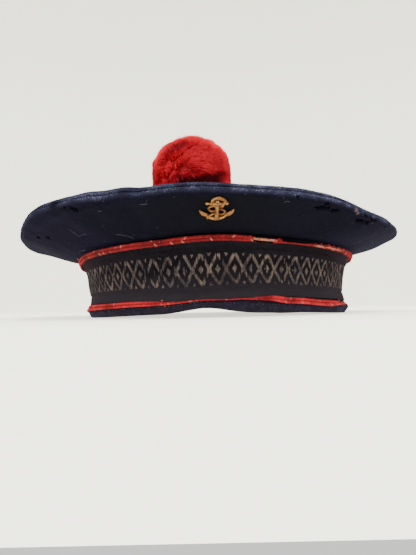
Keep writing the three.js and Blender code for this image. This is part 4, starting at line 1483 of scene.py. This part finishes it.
def brass():
    shade = Shade("badge_brass", Metallic=0.85, Specular_IOR_Level=0.4)
    grime = shade.noise(1.0, 4.0, 0.65)
    worn = shade.noise(3.0, 2.0)
    shade.layers(
        shade.mix(shade.ramp(worn, 0.35, 0.7), srgb(128, 84, 46), srgb(168, 120, 66)),
        (shade.ramp(grime, 0.43, 0.68, 0.0, 0.9), srgb(52, 31, 20)),
        # Darker low on the badge, near the cloth: painted shade and patina
        (shade.field("patina_and_shade"), srgb(30, 18, 12)),
    )
    shade.roughness(shade.ramp(grime, 0.35, 0.7, 0.36, 0.6))
    shade.bump(grime, 0.14, 0.6)
    return shade.material


# The badge's ways, the rope's from the left of the stock over the top and round the shank, and
# then the bars': right, up, out, in mm
ROPE_WAY = [
    (-1.6, 4.3, 0.9), (-1.8, 5.3, 0.9), (-0.8, 6.6, 0.9), (1.0, 7.4, 0.9), (2.9, 6.8, 0.9),
    (4.0, 6.0, 1.1), (4.2, 5.3, 1.3), (3.6, 4.9, 1.7), (3.3, 4.2, 2.3), (2.8, 2.7, 1.9),
    (1.6, 1.8, 0.9), (-0.2, 2.0, 0.6), (-2.0, 1.7, 0.9), (-3.1, 0.6, 0.9), (-2.8, -0.7, 0.9),
    (-1.4, -1.5, 0.9), (0.2, -1.0, 0.5), (2.0, -0.1, 0.8), (3.7, -0.7, 0.9), (4.5, -2.1, 1.0),
    (3.6, -3.3, 0.9), (2.2, -3.8, 0.8), (0.4, -3.2, 0.5), (-1.3, -3.1, 1.2), (-2.9, -3.9, 1.7),
    (-3.6, -5.0, 1.8), (-3.3, -6.2, 1.1),
]
SHANK_WAY = [(0.7, 5.4, 1.1), (0.7, 2.0, 1.3), (0.65, -2.0, 1.4), (0.6, -6.2, 1.2)]
KNOB_WAY = [(0.7, 4.4, 1.4), (0.7, 4.8, 1.6), (0.7, 5.5, 1.6), (0.7, 5.9, 1.3)]
STOCK_WAY = [(-3.9, 3.85, 1.2), (-1.8, 3.75, 1.3), (1.8, 3.85, 1.3), (4.8, 4.05, 1.2)]
ARCH_WAY = [
    (-1.3, 4.2, 0.7), (-1.0, 5.4, 0.7), (0.0, 6.3, 0.7), (1.1, 6.6, 0.7), (2.4, 6.2, 0.7),
    (3.3, 5.3, 0.7), (3.4, 4.2, 0.7),
]
CROWN_WAY = [(-4.9, -4.1, 0.9), (-2.9, -5.5, 1.1), (0.5, -6.1, 1.3), (3.5, -5.3, 1.1), (5.3, -3.9, 0.9)]
LEFT_FLUKE = [(-3.0, -3.8, 0.9), (-4.6, -3.7, 1.2), (-6.2, -2.6, 1.2), (-7.6, -0.9, 0.8)]
RIGHT_FLUKE = [(4.2, -3.8, 0.9), (5.7, -3.4, 1.2), (7.3, -1.9, 1.2), (8.6, 0.2, 0.8)]


BAR_STATIONS = 24
ROPE_STATIONS = 260


def tapered(way, radii, sides=12, flatten=1.0):
    """A closed bar through points, its radii spread evenly along it."""
    centres = curve_through(way, BAR_STATIONS)
    sizes = np.interp(np.linspace(0, 1, BAR_STATIONS - 2), np.linspace(0, 1, len(radii)), radii)
    return sweep(centres[None], sizes[None], sides, flatten)[:2]


def rope(way, radius, pitch):
    """Two strands twisted round each other along a way."""
    centres = curve_through(way, ROPE_STATIONS)
    walked = np.concatenate([[0], np.cumsum(np.linalg.norm(np.diff(centres, axis=0), axis=1))])
    run = unit(np.gradient(centres, axis=0))
    side = unit(np.cross(run, [0.0, 0.0, 1.0]))
    up = np.cross(side, run)
    strands = []
    for k in range(2):
        twist = (walked / pitch + k / 2)[:, None] * 2 * np.pi
        strands.append(centres + (side * np.cos(twist) + up * np.sin(twist)) * radius * 0.42)
    return sweep(np.stack(strands), np.full((2, ROPE_STATIONS - 2), radius * 0.66), 7)[:2]


def ball(middle, radius):
    x, y, z = middle
    part = np.linspace(-0.98, 0.98, 12)
    centres = np.array([[x, y + radius * v, z] for v in np.concatenate([[-1], part, [1]])])
    return sweep(centres[None], (np.sqrt(1 - part**2) * radius)[None], 12)[:2]


def anchor():
    """The badge: shank, stock and flukes with a rope round them, lying on the front of the crown."""
    shank = tapered(SHANK_WAY, [0.75, 0.9, 0.9, 0.95, 1.1], flatten=0.9)
    knob = tapered(KNOB_WAY, [0.8, 0.9, 0.9, 0.7], 10)
    stock = tapered(STOCK_WAY, [0.6, 0.72, 0.76, 0.74, 0.6])
    ends = [ball((-4.0, 3.85, 1.2), 0.74), ball((4.9, 4.1, 1.2), 0.8)]
    crown_bar = tapered(CROWN_WAY, [0.55, 0.85, 1.0, 0.85, 0.55], flatten=0.9)
    fluke_ways = [np.array(LEFT_FLUKE), np.array(RIGHT_FLUKE)]
    flukes = [tapered(way, [0.5, 1.1, 1.15, 0.75, 0.2], flatten=0.5) for way in fluke_ways]
    ridges = [tapered(way + [0, 0.1, 0.5], [0.2, 0.4, 0.4, 0.3, 0.1], 8) for way in fluke_ways]
    arch = tapered(ARCH_WAY, [0.5, 0.62, 0.62, 0.5])
    parts = [shank, knob, stock, *ends, crown_bar, *flukes, *ridges, arch, rope(ROPE_WAY, 0.56, 1.7)]
    points, faces = merged(parts)
    # Darker the lower a point lies over the cloth: painted shade and patina
    patina_and_shade = 1 - smooth(0.3, 1.5, points[:, 2])
    origin, right, up, out = panel_frame(np.array(BADGE_TURN), np.array(BADGE_ALONG))
    placed = origin + points[:, :1] * right + points[:, 1:2] * up + (points[:, 2:] + GAP) * out
    material = brass()
    piece("badge_anchor", placed, faces, {"patina_and_shade": patina_and_shade}, material, "brass", "badge")
    paint(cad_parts["badge_post"], material)


# The studio

def studio_lights():
    """A pale sky, a broad soft light above and in front, and smaller ones at the sides."""
    world = bpy.data.worlds.new("studio")
    bpy.context.scene.world = world
    world.use_nodes = True
    sky = world.node_tree.nodes["Background"]
    sky.inputs["Color"].default_value = (1.0, 0.995, 0.975, 1.0)
    sky.inputs["Strength"].default_value = 1.0

    def area(name, place, aim, size, power):
        light = bpy.data.lights.new(name, "AREA")
        light.shape = "DISK"
        light.size = size
        light.energy = power
        light.color = (1.0, 0.985, 0.96)
        lamp = bpy.data.objects.new(name, light)
        bpy.context.scene.collection.objects.link(lamp)
        lamp.location = place
        lamp.rotation_euler = (Vector(aim) - Vector(place)).to_track_quat("-Z", "Y").to_euler()

    area("key_light", (0.25, -0.55, 1.3), (0, 0, 0.05), 0.9, 22)
    area("left_light", (-1.2, -0.3, 0.7), (0, 0, 0.05), 0.7, 10)
    area("right_light", (1.2, -0.2, 0.7), (0, 0, 0.05), 0.7, 6)


def studio_sweep():
    """A pale seamless round sweep, which is the floor and the backdrop in one from every side. It glows
    with its own light, weaker far in front of the cap and higher up, and that glow also lights the cap.
    """
    flat, bend, top = 1800.0, 1400.0, 5200.0
    curve = [(reach, 0.0) for reach in (1.0, 200.0, 500.0, 900.0, 1300.0, flat)]
    rising = np.radians(np.linspace(3, 90, 30))
    curve += [(flat + bend * math.sin(a), bend - bend * math.cos(a)) for a in rising]
    curve.append((flat + bend, top))
    around = np.radians(np.linspace(0, 360, 96, endpoint=False))
    points = [(reach * math.cos(a), reach * math.sin(a), z) for a in around for reach, z in curve]
    faces = grid_faces(len(around), len(curve))
    made = make_mesh("sweep", np.array(points), faces, {})
    shade = Shade("glowing_pale_paper", Roughness=0.95, Specular_IOR_Level=0.0,
                  Emission_Color=(1.0, 0.99, 0.86, 1.0))
    shade.colour(shade.mix(shade.noise(400.0, 2.0), (0.80, 0.80, 0.76, 1), (0.82, 0.82, 0.78, 1)))
    # Painted light: the sweep glows, weaker far in front of the cap and higher up
    place = shade.add("ShaderNodeSeparateXYZ", shade.place).outputs
    behind = shade.ramp(place["Y"], -2.0, -0.5, 0.2, 1.25)
    low_down = shade.ramp(place["Z"], 0.0, 2.5, 1.0, 0.65)
    shade.give(shade.shader.inputs["Emission Strength"], shade.times(behind, low_down))
    paint(made, shade.material)


# The photograph's view: distance in front of the crown's middle, height, picture size and aim
CAMERA_DISTANCE = 321.0
CAMERA_HEIGHT = 5.3
FOCAL_PIXELS = 445.0
PICTURE_HEIGHT = 555
HORIZON_BELOW_MIDDLE = 29.5
CAMERA_ROLL = 1.2


def studio_camera():
    data = bpy.data.cameras.new("camera")
    data.sensor_width = 36
    data.lens = FOCAL_PIXELS * data.sensor_width / PICTURE_HEIGHT
    data.clip_start = 0.01
    data.clip_end = 50
    camera = bpy.data.objects.new("camera", data)
    bpy.context.scene.collection.objects.link(camera)
    place = (FRAME_SHIFT + [0, -CAMERA_DISTANCE, CAMERA_HEIGHT]) * MM
    pitch = math.atan(HORIZON_BELOW_MIDDLE / FOCAL_PIXELS)
    roll = Matrix.Rotation(math.radians(-CAMERA_ROLL), 4, "Z")
    aim = Matrix.Rotation(math.radians(90) + pitch, 4, "X") @ roll
    camera.matrix_world = Matrix.Translation(place) @ aim
    bpy.context.scene.camera = camera


studio_camera()
studio_lights()
studio_sweep()

side_cloth()
top_cloth()
band_cloth()
hem_stitches()
sweatband()
ribbon()
ribbon_threads()
# The upper braid's red is darker than the lower's: painted shade under the crown's overhang. The frayed
# yarn and tufts take the same darker red.
UPPER_RED_SHADED = (srgb(66, 12, 15), srgb(134, 26, 32))
LOWER_RED = (srgb(106, 18, 24), srgb(186, 38, 46))
UPPER_TABLES = (UPPER_FULLNESS, UPPER_HANGS, UPPER_STANDS, UPPER_PALE)
LOWER_TABLES = (LOWER_FULLNESS, LOWER_HANGS, LOWER_STANDS, LOWER_PALE)
braid("upper_braid_yarn", "upper_braid", (UPPER_BRAID_HEIGHT, 0.5), UPPER_TABLES, WORN_TO, WORN_FROM + 360,
      UPPER_RED_SHADED, 81)
braid("lower_braid_yarn", "lower_braid", (LOWER_BRAID_HEIGHT, 1.6), LOWER_TABLES, -135, 225, LOWER_RED, 91)
fray_material = red_yarn("frayed_yarn", *UPPER_RED_SHADED)
braid_fray("upper_braid_fray", UPPER_BRAID_HEIGHT, UPPER_TABLES, 1300, 83, fray_material)
braid_fray("lower_braid_fray", LOWER_BRAID_HEIGHT, LOWER_TABLES, 900, 93, fray_material)
tufts(fray_material)
core_cord()
pompom()
rim_fuzz()
lint()
torn_threads()
anchor()
